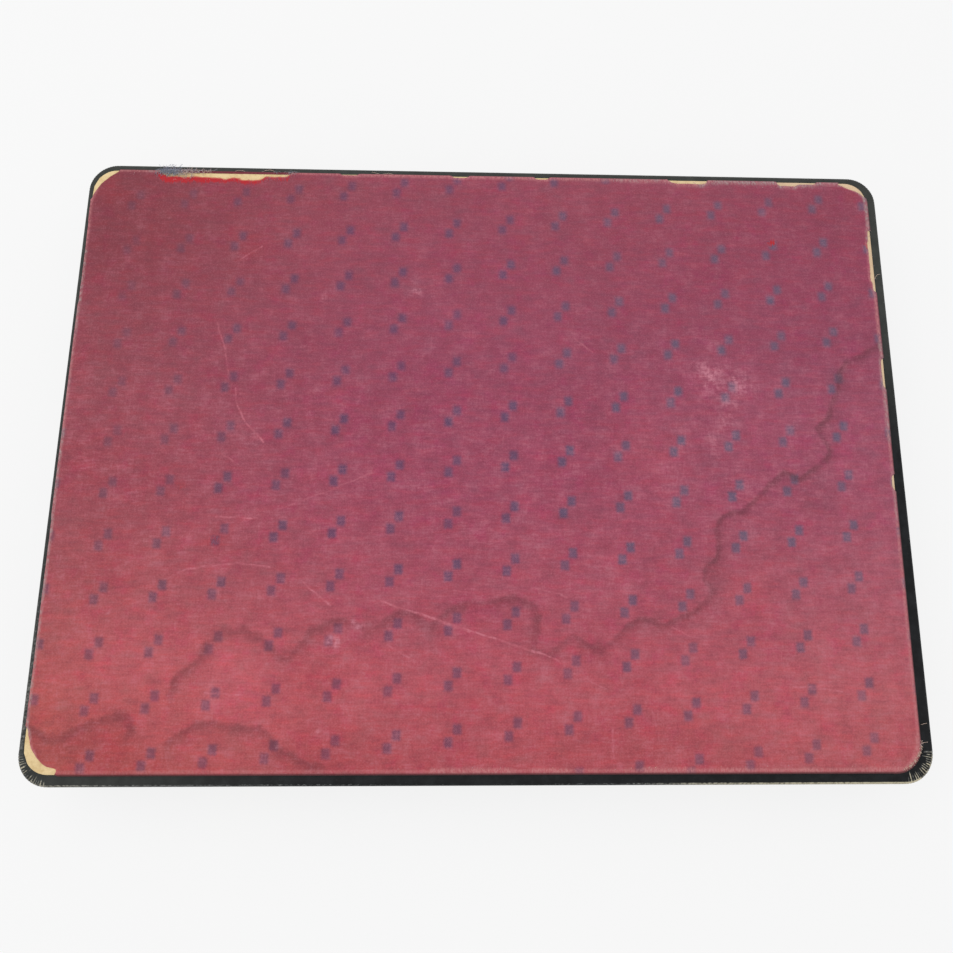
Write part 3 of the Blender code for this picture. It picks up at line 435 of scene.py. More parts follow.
def clothFinish():
    # faded dye, then the marks on it, each mixed in by amount: squares, tide lines, dust, scratches, ridge
    f = Finish("wornRedCloth")
    x, y = f.split(f.spot)[:2]
    back = f.timesPlus(y, 1 / 274, 0.5)
    # lighter to the front, darker to the back, warmer to the left and greyer to the right, more so in front
    # the front's lighter colour is partly fading and partly painted light, brighter in front
    colour = f.ramp(back, [(0.03, srgb(174, 79, 87)), (0.13, srgb(179, 84, 95)), (0.27, srgb(166, 79, 96)),
                           (0.44, srgb(157, 73, 96)), (0.66, srgb(150, 71, 94)), (0.95, srgb(148, 71, 89))])
    forward = f.level(y, 100.0, -10.0)
    leftTint = f.mix(forward, (0.92, 0.94, 0.73, 1.0), (0.98, 1.09, 0.82, 1.0))
    rightTint = f.mix(forward, (0.95, 0.90, 0.97, 1.0), (1.04, 1.22, 1.14, 1.0))
    colour = f.tinted(colour, f.level(x, -10.0, -190.0), leftTint)
    colour = f.tinted(colour, f.level(x, 30.0, 190.0), rightTint)
    colour = f.tinted(colour, f.times(f.level(x, -80.0, -190.0), f.level(y, 30.0, 136.0)), (0.82, 0.78, 0.86))
    colour = f.mix(f.attribute("washed"), colour, srgb(199, 97, 108))
    colour = f.mix(f.attribute("reddened"), colour, srgb(164, 58, 66))
    # uneven dye: patches of crimson and of brick, and streaks along the weft
    dye = f.weighted(f.noise(5.5, 3.0, 0.6, seed=21.0), 0.55, f.noise(17.0, 3.0, 0.6, seed=22.0), 0.45)
    streak = f.noise(2.6, 3.0, 0.5, (4.0, 1.0, 1.0), 23.0)
    shifts = [(dye, 0.66, 1.0, (1.05, 0.86, 1.00)), (dye, 0.34, 1.0, (0.95, 1.08, 1.03)),
              (streak, 0.68, 0.6, (1.14, 0.93, 0.92)), (streak, 0.32, 0.6, (0.88, 1.02, 1.02))]
    for value, end, amount, tint in shifts:
        colour = f.tinted(colour, f.level(value, 0.50, end, 0.0, amount), tint)

    # the pairs of small squares stand on a skewed lattice that bows a little and is tighter towards the
    # corners: a place's offset from the first pair is scaled by 1 plus tight times its length squared
    (ax, ay), (bx, by), (x0, y0) = weave["across"], weave["along"], weave["first"]
    area = ax * by - ay * bx

    def lattice(px, py):
        # a place as steps across and along from the first pair
        dx, dy = f.minus(px, x0), f.minus(py, y0)
        i = f.timesPlus(dx, by / area, f.times(dy, -bx / area))
        j = f.timesPlus(dy, ax / area, f.times(dx, -ay / area))
        return i, j

    farX, farY = f.minus(x, x0), f.minus(y, y0)
    square = f.plus(f.times(farX, farX), f.times(farY, farY))
    growth = f.times(square, weave["tight"])
    evenX, evenY = f.timesPlus(farX, growth, x), f.timesPlus(farY, growth, y)
    i, j = lattice(evenX, evenY)
    squareI = f.times(i, i)
    bowed = f.times(squareI, weave["bow"][0])
    bowed = f.timesPlus(f.times(i, j), weave["bow"][1], bowed)
    bowed = f.timesPlus(f.times(j, j), weave["bow"][2], bowed)
    bowed = f.timesPlus(f.times(squareI, i), weave["bow"][3], bowed)
    i, j = lattice(evenX, f.minus(evenY, bowed))
    iCell, jCell = f.maths("ROUND", i), f.maths("ROUND", j)
    di, dj = f.minus(i, iCell), f.minus(j, jCell)
    lx = f.timesPlus(di, ax, f.times(dj, bx))
    ly = f.timesPlus(di, ay, f.times(dj, by))
    fuzz = f.minus(f.noise(1.1, 2.0, seed=14.0), 0.5)
    blur = f.level(y, 60.0, -60.0, *weave["blur"])  # crisper in front

    def within(distance, half):
        # 1 inside the half size, falling to 0 over the blur on both sides of it
        return f.level(f.maths("DIVIDE", f.minus(distance, half), blur), 1.0, -1.0)

    def patch(sign):
        # fullest in the middle of one square of a pair, gone a few threads past its edges; strengths vary
        fx = f.maths("ABSOLUTE", f.minus(lx, sign * weave["offset"][0]))
        fy = f.maths("ABSOLUTE", f.minus(ly, sign * weave["offset"][1]))
        fx, fy = f.plus(fx, fuzz), f.plus(fy, fuzz)
        inside = f.times(within(fx, weave["half"][0]), within(fy, weave["half"][1]))
        cell = f.node("CombineXYZ", {0: iCell, 1: jCell, 2: sign}).outputs[0]
        luck = f.node("TexWhiteNoise", {0: cell}).outputs[0]
        return f.times(inside, f.timesPlus(luck, 0.14, 0.82)), luck

    def waves(length):
        # the product of two sine waves of that length, one each way
        return f.times(*(f.maths("SINE", f.times(value, 2 * math.pi / length)) for value in (x, y)))

    (one, luck), (two, _) = patch(1.0), patch(-1.0)
    pair = f.larger(one, two)
    threadWaves = waves(2 * weave["thread"])
    check = f.level(waves(weave["check"]), -0.4, 0.4)
    worn = f.level(f.noise(42.0, 2.0, seed=3.0), 0.32, 0.60, 0.80, 1.0)
    farLeft = f.times(f.level(x, -90.0, -172.0), f.level(y, -115.0, 30.0))
    strength = f.times(worn, f.timesPlus(farLeft, -0.44, 1.0))
    strength = f.times(strength, f.ramp(back, weave["strength"]))
    dashes = f.times(f.minus(check, 0.5), f.level(y, 40.0, -80.0, 0.20, 0.50))
    strength = f.times(strength, f.plus(dashes, 0.97))
    blue = f.ramp(f.timesPlus(x, 1 / 380, 0.5), [(0.12, srgb(92, 72, 92)), (0.34, srgb(83, 64, 96)),
                                                 (0.52, srgb(79, 73, 104)), (0.72, srgb(82, 93, 117))])
    blue = f.mix(f.times(luck, 0.22), blue, srgb(76, 84, 110))
    blue = f.mix(f.level(y, -40.0, -120.0, 0.0, 0.6), blue, srgb(86, 62, 88))
    colour = f.mix(f.times(pair, strength), colour, blue)

    # a tide line is darkest at its outer side and fades inwards; dirt carried in it makes it patchy
    ripple = f.times(f.minus(f.noise(4.5, 4.0, 0.65), 0.5), 4.4)
    patchy = f.level(f.noise(9.0, 3.0, seed=5.0), 0.30, 0.62, 0.62, 1.0)

    def tideMark(name, fade, amount):
        # a step up at the outer side, times two slopes down inwards, a steep and a long one
        distance = f.plus(f.attribute(name), ripple)
        outer = f.level(distance, -1.9, 0.5)
        inner = f.plus(f.level(distance, 4.2, 0.8, 0.0, 0.64), f.level(distance, fade, 0.8, 0.0, 0.36))
        shown = f.times(f.attribute(name + "Shown"), amount)
        return f.times(f.times(outer, inner), f.times(patchy, shown))

    mark = f.larger(tideMark("tide", 10.0, 0.51), tideMark("arcs", 14.0, 0.46))
    mark = f.larger(mark, f.times(f.attribute("blotch"), patchy))
    colour = f.mix(mark, colour, srgb(88, 52, 58))

    # slubs, grain and dust in the threads, and their painted highlight and shade: long thin noise both ways,
    # clouds, and the threads themselves
    slubX = f.noise(0.62, 1.0, stretch=(24.0, 1.0, 1.0), seed=1.0)
    slubY = f.noise(0.62, 1.0, stretch=(1.0, 24.0, 1.0), seed=2.0)
    short = f.noise(0.75, 1.0, stretch=(5.0, 1.0, 1.0), seed=15.0)
    upright = f.noise(0.75, 1.0, stretch=(1.0, 5.0, 1.0), seed=17.0)
    grain = f.noise(1.3, 2.0, 0.7)
    cloud = f.noise(11.0, 6.0, 0.66, seed=4.0)
    calm = f.level(y, -10.0, 100.0, 1.0, 0.6)  # clearer towards the back
    cloud = f.timesPlus(f.minus(cloud, 0.5), calm, 0.5)
    colour = f.shade(colour, (f.noise(38.0, 4.0, 0.6), 0.24), (cloud, 0.22), (grain, 0.11), (slubX, 0.11),
                     (slubY, 0.08), (threadWaves, 0.03))
    threadFlecks = f.weighted(short, 0.62, upright, 0.38)
    # pale and dark flecks: partly dust, partly painted highlight and shade on the threads
    dustAndThreadSheen = f.weighted(f.noise(7.0, 5.0, 0.72, seed=16.0), 0.56, threadFlecks, 0.44)
    colour = f.mix(f.times(f.level(dustAndThreadSheen, 0.48, 0.68, 0.0, 0.24), calm), colour, srgb(214, 138, 154))
    colour = f.mix(f.times(f.level(dustAndThreadSheen, 0.52, 0.34, 0.0, 0.26), calm), colour, srgb(104, 38, 56))
    # finer pale and dark flecks: painted highlight and shade on single threads
    threadHighlightShade = f.noise(0.55, 1.0, 0.5, seed=25.0)
    colour = f.mix(f.level(threadHighlightShade, 0.5, 0.72, 0.0, 0.085), colour, srgb(222, 150, 164))
    colour = f.mix(f.level(threadHighlightShade, 0.5, 0.28, 0.0, 0.085), colour, srgb(96, 34, 50))

    # rubbed places: pale dust caught on the threads, thin scratches, and stray pale specks
    dust = f.level(f.weighted(f.noise(3.4, 5.0, 0.7, seed=6.0), 0.75, threadFlecks, 0.25), 0.42, 0.66)
    rubbed = f.times(f.attribute("scuff"), f.timesPlus(dust, 1.05, 0.08))
    specks = f.level(f.noise(1.1, 1.0, 0.5, seed=8.0), 0.78, 0.86, 0.0, 0.4)
    total = f.larger(rubbed, specks)
    slow = f.vector("SCALE", f.spot, scale=0.09)
    wander = f.node("TexNoise", {"Vector": slow, "Scale": 1.0, "Detail": 2.0}).outputs[1]
    wander = f.vector("MULTIPLY", f.vector("SUBTRACT", wander, (0.5, 0.5, 0.5)), (2.4, 2.4, 0.0))
    strayed = f.vector("ADD", f.spot, wander)
    broken = f.level(f.noise(2.6, 4.0, 0.7, seed=9.0), 0.38, 0.60)
    scored = 0.0
    for startX, startY, endX, endY, amount in marks["scratches"]:
        # pale by the distance to the nearest point of the line between its ends
        (sx, sy), (ex, ey) = fromPhoto([(startX, startY), (endX, endY)], panel["top"]) / mm
        start, run = (float(sx), float(sy), panel["top"] / mm), (float(ex - sx), float(ey - sy), 0.0)
        away = f.vector("SUBTRACT", strayed, start)
        share = f.vector("DOT_PRODUCT", away, tuple(r / (run[0] ** 2 + run[1] ** 2) for r in run), output=1)
        foot = f.vector("SCALE", run, scale=f.node("Clamp", {0: share}).outputs[0])
        gap = f.vector("DISTANCE", away, foot, output=1)
        scored = f.larger(scored, f.level(gap, 0.66, 0.1, 0.0, amount))
    colour = f.mix(f.times(scored, f.timesPlus(broken, 0.38, 0.20)), colour, srgb(204, 116, 130))
    total = f.larger(total, f.times(scored, f.level(broken, 0.8, 1.0, 0.0, 0.2)))
    colour = f.mix(total, colour, srgb(220, 148, 164))

    # the ridge along the panel's edge: worn to pale broken threads, bright red where it has just torn, and
    # darkened with painted shade where it turns down
    fray = f.level(f.noise(0.7, 3.0, 0.7, (1.0, 2.4, 1.0), 11.0), 0.34, 0.66)
    ridge, greyed, edge = f.attribute("ridge"), f.attribute("greyed"), f.attribute("edge")
    share = f.maths("DIVIDE", edge, f.timesPlus(ridge, 2.4, 0.3))
    patches = f.times(greyed, f.level(f.noise(3.2, 3.0, 0.6, seed=24.0), 0.36, 0.58, 0.25, 1.0))
    pale = f.larger(f.level(share, 1.0, 0.0), f.times(f.level(share, 1.0, 0.2), patches))
    pale = f.times(pale, f.timesPlus(fray, 0.66, 0.16))
    fluff = f.mix(patches, srgb(198, 130, 132), srgb(174, 156, 154))
    colour = f.mix(f.times(pale, f.level(ridge, 0.0, 0.6)), colour, fluff)
    torn = f.attribute("fresh")
    strands = f.minus(f.noise(0.6, 2.0, 0.6, (1.0, 4.0, 1.0), 12.0), 0.5)
    fresh = f.times(f.level(f.timesPlus(strands, 2.2, torn), 0.15, 1.0), f.level(torn, 0.02, 0.2))
    colour = f.mix(fresh, colour, srgb(180, 42, 50))
    colour = f.mix(f.times(torn, f.level(edge, 0.85, 0.0, 0.0, 0.8)), colour, srgb(216, 148, 118))
    colour = f.mix(f.level(edge, -0.05, -0.6, 0.0, 0.86), colour, srgb(62, 20, 27))
    height = f.plus(f.times(threadWaves, 0.35), f.plus(slubX, slubY))
    height = f.plus(height, f.times(grain, 0.6))
    return f.done(colour, 0.88, height, bump=0.35, depth=0.10, Specular_IOR_Level=0.22, Sheen_Weight=0.06)


def cardFinish():
    # cream card with long fibres: stained in patches, and pinker to the right
    f = Finish("creamCard")
    fibres = f.noise(0.8, 4.0, 0.7)
    stain = f.level(f.noise(4.0, 3.0), 0.40, 0.75)
    colour = f.mix(f.times(stain, 0.6), srgb(231, 206, 158), srgb(196, 165, 112))
    x = f.split(f.spot)[0]
    colour = f.mix(f.level(x, 60.0, 150.0, 0.0, 0.6), colour, srgb(216, 186, 162))
    colour = f.shade(colour, (fibres, 0.3), (f.noise(0.4, 2.0, stretch=(6.0, 1.0, 1.0)), 0.2))
    return f.done(colour, 0.9, fibres, bump=0.5, depth=0.15, Specular_IOR_Level=0.2)


def leatherclothFinish():
    # black skin with a pebbled grain of soft cells, creased and dusty; the points' wear bares its canvas
    f = Finish("blackLeathercloth")
    pebble = f.node("TexVoronoi", {"Vector": f.spot, "Scale": 1.5}, feature="SMOOTH_F1").outputs["Distance"]
    crease = f.noise(6.0, 4.0, 0.65)
    colour = f.mix(f.level(crease, 0.35, 0.7), srgb(17, 18, 20), srgb(30, 32, 34))
    dust = f.level(f.noise(1.2, 4.0, 0.75, seed=2.0), 0.60, 0.82, 0.0, 0.16)
    colour = f.mix(dust, colour, srgb(110, 110, 108))
    # greyer on the lid's top towards the back and the left
    x, y, z = f.split(f.spot)
    veil = f.larger(f.level(y, -5.0, 75.0), f.level(x, -60.0, -180.0, 0.0, 0.8))
    veil = f.times(f.times(veil, f.level(z, 30.0, 36.0)), f.level(crease, 0.2, 0.8, 0.6, 1.0))
    colour = f.mix(veil, colour, srgb(63, 65, 62))
    # the wear values also hold the lid's thin pale arris line, which is partly a painted highlight
    wearAndHighlight = f.attribute("wearAndHighlight")
    broken = f.timesPlus(f.minus(f.noise(1.1, 4.0, 0.7, seed=5.0), 0.5), 1.2, wearAndHighlight)
    bare = f.times(f.level(broken, 0.30, 0.75), f.level(wearAndHighlight, 0.05, 0.25))
    canvas = f.mix(f.noise(2.0, 3.0, seed=7.0), srgb(226, 216, 186), srgb(176, 166, 138))
    canvas = f.mix(f.level(wearAndHighlight, 0.35, 0.75), srgb(128, 130, 130), canvas)
    colour = f.mix(bare, colour, canvas)
    rough = f.timesPlus(f.noise(3.0, 3.0, seed=1.0), 0.22, 0.38)
    rough = f.larger(rough, f.times(bare, 0.9))
    height = f.plus(f.times(pebble, 0.7), f.noise(0.5, 3.0))
    return f.done(colour, rough, height, bump=0.32, depth=0.12, Specular_IOR_Level=0.13)


def woodFinish(name, pale, dark, grain=(1.0, 40.0, 1.0), rough=0.55, mitres=None):
    # growth rings as long noise along the timber; a frame's grain turns at the mitres of its corners
    f = Finish(name)

    def rings(stretch, seed):
        # wide and fine noise, both drawn out along the timber
        wide = f.noise(3.2, 3.0, 0.6, stretch, seed)
        fine = f.noise(0.7, 3.0, 0.7, stretch, seed + 3.0)
        return f.weighted(wide, 0.65, fine, 0.35)

    value = rings(grain, 1.0)
    if mitres:
        past = [f.minus(f.maths("ABSOLUTE", v), half) for v, half in zip(f.split(f.spot), mitres)]
        side = f.maths("GREATER_THAN", *past)
        other = rings((grain[1], grain[0], grain[2]), 2.0)
        value = f.node("Mix", {0: side, 2: other, 3: value}).outputs[0]
    duller = tuple(0.86 * c for c in pale[:3]) + (1.0,)
    colour = f.ramp(value, [(0.28, dark), (0.46, pale), (0.60, duller), (0.74, dark)])
    pores = f.level(f.noise(0.35, 1.0, 0.5, tuple(0.4 * g + 0.6 for g in grain), 6.0), 0.68, 0.78, 0.0, 0.5)
    colour = f.mix(pores, colour, dark)
    colour = f.shade(colour, (f.noise(25.0, 3.0, seed=8.0), 0.25))
    return f.done(colour, f.timesPlus(value, 0.2, rough - 0.1), value, bump=0.2, depth=0.15)


def boardFinish():
    # painted hardboard, rubbed in patches; a line is printed where a place is near a whole number of pitches
    f = Finish("paintedPegboard")
    x, y = f.split(f.spot)[:2]
    pitch, half = grid["pitch"] / mm, grid["cells"] // 2 * grid["pitch"] / mm
    lines = 0.0
    for value in (x, y):
        place = f.maths("DIVIDE", f.plus(value, half), pitch)
        gap = f.maths("ABSOLUTE", f.minus(place, f.maths("ROUND", place)))
        lines = f.larger(lines, f.level(gap, 0.024, 0.012))
    inside = f.times(f.maths("LESS_THAN", f.maths("ABSOLUTE", x), half + 0.5),
                     f.maths("LESS_THAN", f.maths("ABSOLUTE", y), half + 0.5))
    lines = f.times(f.times(lines, inside), f.level(f.noise(2.5, 4.0, 0.7), 0.30, 0.5, 0.45, 0.85))
    sea = f.mix(f.noise(30.0, 4.0, 0.6), srgb(58, 98, 122), srgb(48, 84, 110))
    colour = f.mix(lines, sea, srgb(222, 220, 204))
    rub = f.level(f.noise(5.0, 5.0, 0.75, seed=3.0), 0.58, 0.78, 0.0, 0.35)
    colour = f.mix(rub, colour, srgb(120, 130, 132))
    pulp = f.noise(0.6, 3.0, 0.7)
    colour = f.shade(colour, (pulp, 0.16), (f.noise(8.0, 3.0, seed=2.0), 0.14))
    return f.done(colour, f.timesPlus(pulp, 0.2, 0.42), pulp, bump=0.2, depth=0.08)


def brassFinish():
    # brushed brass, browner and duller in patches of tarnish
    f = Finish("tarnishedBrass")
    tarnish = f.level(f.noise(3.5, 5.0, 0.7), 0.38, 0.70)
    brushed = f.noise(0.3, 2.0, stretch=(30.0, 1.0, 1.0))
    colour = f.mix(tarnish, srgb(206, 172, 98), srgb(120, 92, 50))
    colour = f.shade(colour, (brushed, 0.25))
    rough = f.timesPlus(tarnish, 0.22, f.timesPlus(brushed, 0.16, 0.2))
    return f.done(colour, rough, brushed, bump=0.1, depth=0.05, Metallic=1.0)


def plainFinish(name, colour, shadow, rough, size=6.0, bump=0.15, **sockets):
    # paint, rubber or moulded plastic: handled dull in patches, with a fine skin
    f = Finish(name)
    dirt = f.level(f.noise(size, 4.0, 0.65), 0.35, 0.72)
    skin = f.noise(0.5, 3.0, 0.6, seed=4.0)
    mixed = f.shade(f.mix(dirt, colour, shadow), (skin, 0.12))
    return f.done(mixed, f.timesPlus(dirt, 0.18, rough - 0.06), skin, bump=bump, depth=0.06, **sockets)


def shipFinish():
    # grey paint, darker towards the keel and lighter towards the deck, and bare wood at rubbed high spots
    f = Finish("shipGrey")
    z = f.split(f.spot)[2]
    streak = f.noise(0.8, 3.0, 0.6, (1.0, 1.0, 8.0), 2.0)
    colour = f.mix(f.level(z, 13.5, 17.5), srgb(92, 98, 102), srgb(136, 142, 144))
    chips = f.level(f.noise(1.6, 5.0, 0.8, seed=5.0), 0.66, 0.72, 0.0, 0.8)
    colour = f.mix(chips, colour, srgb(170, 140, 98))
    colour = f.shade(colour, (streak, 0.2), (f.noise(5.0, 3.0), 0.18))
    return f.done(colour, f.timesPlus(streak, 0.2, 0.42), streak, bump=0.15, depth=0.06)


grid = dict(cells=10, pitch=0.0225, holeRadius=0.0017, holeSteps=16, chamfer=0.00035, bevel=0.0004)
cloth = clothFinish()
card = cardFinish()
leathercloth = leatherclothFinish()
rimWood = woodFinish("waxedSoftwood", srgb(182, 138, 88), srgb(132, 88, 48), (40.0, 1.0, 1.0),
                     mitres=(178.0, 127.5))
railWood = woodFinish("railSoftwood", srgb(186, 142, 92), srgb(138, 94, 52))
plywood = woodFinish("sandedPlywood", srgb(204, 168, 120), srgb(166, 124, 78), (1.0, 30.0, 1.0), 0.6)
pegboard = boardFinish()
brass = brassFinish()
rubber = plainFinish("blackRubber", srgb(34, 34, 35), srgb(52, 51, 50), 0.8, 3.0, 0.3, Specular_IOR_Level=0.3)
shipGrey = shipFinish()
whitePlastic = plainFinish("whitePegs", srgb(226, 222, 208), srgb(204, 196, 174), 0.35)
redPlastic = plainFinish("redPegs", srgb(176, 34, 30), srgb(146, 28, 26), 0.35)
ink = plainFinish("printedCream", srgb(224, 221, 205), srgb(190, 190, 178), 0.6)
print("finishes made:", len(bpy.data.materials))


# The cloth panel
edges = dict(
    beside=dict(back=181, front=773, left=56, right=896),  # the picture row or column that each side lies on
    # worn ridge along a side as (from, to, depth in mm), in picture pixels along it
    back=[(164, 286, 1.9), (167, 262, 2.8), (222, 262, 3.2), (240, 260, 3.6), (343, 355, 0.35),
          (455, 465, 0.7), (538, 546, 0.9), (673, 704, 1.7), (780, 795, 1.9), (799, 813, 1.0)],
    left=[(222, 300, 0.2), (520, 735, 0.2)],
    right=[(233, 289, 0.7), (243, 280, 1.3), (362, 384, 0.55), (478, 486, 0.5)],
    # how pale the threads along the edge are, 0 to 1, and how far they are grey rather than pink
    paleBack=[(120, 345, 0.4), (345, 620, 0.75), (620, 860, 1.0)],
    paleFront=[(30, 435, 0.28), (432, 512, 0.62), (512, 535, 0.3), (533, 568, 0.52), (568, 642, 0.34),
               (644, 692, 0.66), (692, 900, 0.4), (722, 747, 0.55), (803, 820, 0.55), (870, 925, 0.7)],
    paleLeft=[(190, 760, 0.6)],
    greyLeft=[(250, 330, 1.0), (330, 430, 0.4), (430, 735, 1.0)],
    paleRight=[(190, 440, 0.6), (440, 738, 0.42), (738, 775, 0.9)],
    greyBack=[(612, 672, 0.6), (700, 782, 1.0), (790, 840, 0.9), (150, 172, 0.8)],
    greyRight=[(196, 238, 1.0), (345, 440, 0.8), (470, 520, 0.6)],
    # inner edge of the bare card at the corners
    backLeft=[(123, 168), (117, 172.5), (110, 176.5), (104, 181), (99, 186), (95, 191), (92, 198)],
    frontLeft=[(27, 727), (29, 740), (30.5, 748.5), (35.5, 756.5), (40, 763), (45.5, 767), (55.5, 769),
               (56.5, 779)],
    backRight=[(837, 184), (843, 186.5), (849, 189.2), (855, 191), (860.5, 194), (865.5, 199), (868, 207)])


def edgeWindows(side, places, windows):
    # the strongest of some smooth windows along one side
    lengthwise = side in ("back", "front")
    beside = edges["beside"][side]
    total = np.zeros_like(places)
    for low, high, amount in windows:
        ends = [(pixel, beside) if lengthwise else (beside, pixel) for pixel in (low, high)]
        start, end = sorted(fromPhoto(ends, panel["top"])[:, 0 if lengthwise else 1])
        total = np.maximum(total, amount * between(places, start, end, 2.5 * mm))
    return total


def wornDepth(side, places, seed):
    # how far the cloth's edge has drawn back, in metres: the windows above, ragged by thread
    rough = 0.80 + 0.32 * ragged(places, 4.5 * mm, seed) + 0.16 * (ragged(places, 0.9 * mm, seed + 9) - 0.5)
    return edgeWindows(side, places, edges[side]) * rough * mm


def sideOutline(y, box, radius, side):
    # the left or right side of a rounded rectangle as x for each y
    xLow, yLow, xHigh, yHigh = box
    inside = np.maximum(0, np.maximum(yLow + radius - y, y - yHigh + radius))
    give = radius - np.sqrt(np.maximum(0, radius ** 2 - np.minimum(inside, radius) ** 2))
    return xLow + give if side == "left" else xHigh - give


def rightDraw(y):
    # how far the panel's right side lies in, in metres
    pixels, inwards = zip(*panel["drawn"])
    places = fromPhoto([(900, p) for p in pixels], panel["top"])[:, 1]
    return np.interp(-y, -places, inwards) * mm


def bite(y, corner, side):
    # x of a corner's bare edge for each y, and nothing outside its reach
    spots = fromPhoto(edges[corner], panel["top"])
    order = np.argsort(spots[:, 1])
    x = np.interp(y, spots[order, 1], spots[order, 0])
    past = 4 * mm
    low = spots[:, 1].min() - (past if corner.startswith("front") else 0.0)
    high = spots[:, 1].max() + (past if corner.startswith("back") else 0.0)
    return np.where((y >= low) & (y <= high), x, -1.0 if side == "left" else 1.0)


def evenSteps(low, high, step):
    # fine steps near both ends, even ones between
    near = np.array([0, 0.2, 0.45, 0.75, 1.1, 1.5, 2.0, 2.6, 3.4, 4.4]) * mm
    middle = np.linspace(low + near[-1], high - near[-1], int((high - low) / step))
    return np.concatenate([low + near[:-1], middle, high - near[-2::-1]])


def distanceTo(points, route, closing):
    # distance in mm to an open route, positive inside the outline that the closing points make of it: nearest
    # point on each segment, crossings for the side; and how far a mark shows, from 0 at the closing segments
    outline = np.concatenate([route, closing])
    nearest, guard = np.full(len(points), 1e9), np.full(len(points), 1e9)
    inside = np.zeros(len(points), bool)
    for count, (a, b) in enumerate(zip(outline, np.roll(outline, -1, 0))):
        run = b - a
        share = np.clip(((points - a) @ run) / max(run @ run, 1e-12), 0, 1)
        gap = np.linalg.norm(points - a - share[:, None] * run, axis=1)
        if count < len(route) - 1:
            nearest = np.minimum(nearest, gap)
        else:
            guard = np.minimum(guard, gap)
        crosses = (a[1] > points[:, 1]) != (b[1] > points[:, 1])
        at = a[0] + (points[:, 1] - a[1]) * run[0] / (run[1] if abs(run[1]) > 1e-12 else 1e-12)
        inside ^= crosses & (points[:, 0] < at)
    return np.where(inside, nearest, -nearest) / mm, smoothStep(guard / (4 * mm))


def spotsOver(points, rows):
    # each spot is a soft bump about its middle, its reach in mm; the strongest counts
    total = np.zeros(len(points))
    for px, py, reach, amount in rows:
        middle = fromPhoto([(px, py)], panel["top"])[0]
        gap = np.linalg.norm(points - middle, axis=1) / (reach * mm)
        total = np.maximum(total, amount * np.exp(-gap ** 2))
    return total


def edgeLoop(rows, columns):
    # a grid's outer points, anticlockwise
    index = np.arange(rows * columns).reshape(rows, columns)
    return np.concatenate([index[0, :-1], index[:-1, -1], index[-1, :0:-1], index[:0:-1, 0]])


def skirtFaces(loop, first, count):
    # quads from a loop of points down through rings of new ones that start at first
    ring = np.vstack([loop, first + np.arange(count * len(loop)).reshape(count, -1)])
    after = np.roll(ring, -1, 1)
    return np.stack([ring[1:], after[1:], after[:-1], ring[:-1]], -1).reshape(-1, 4)


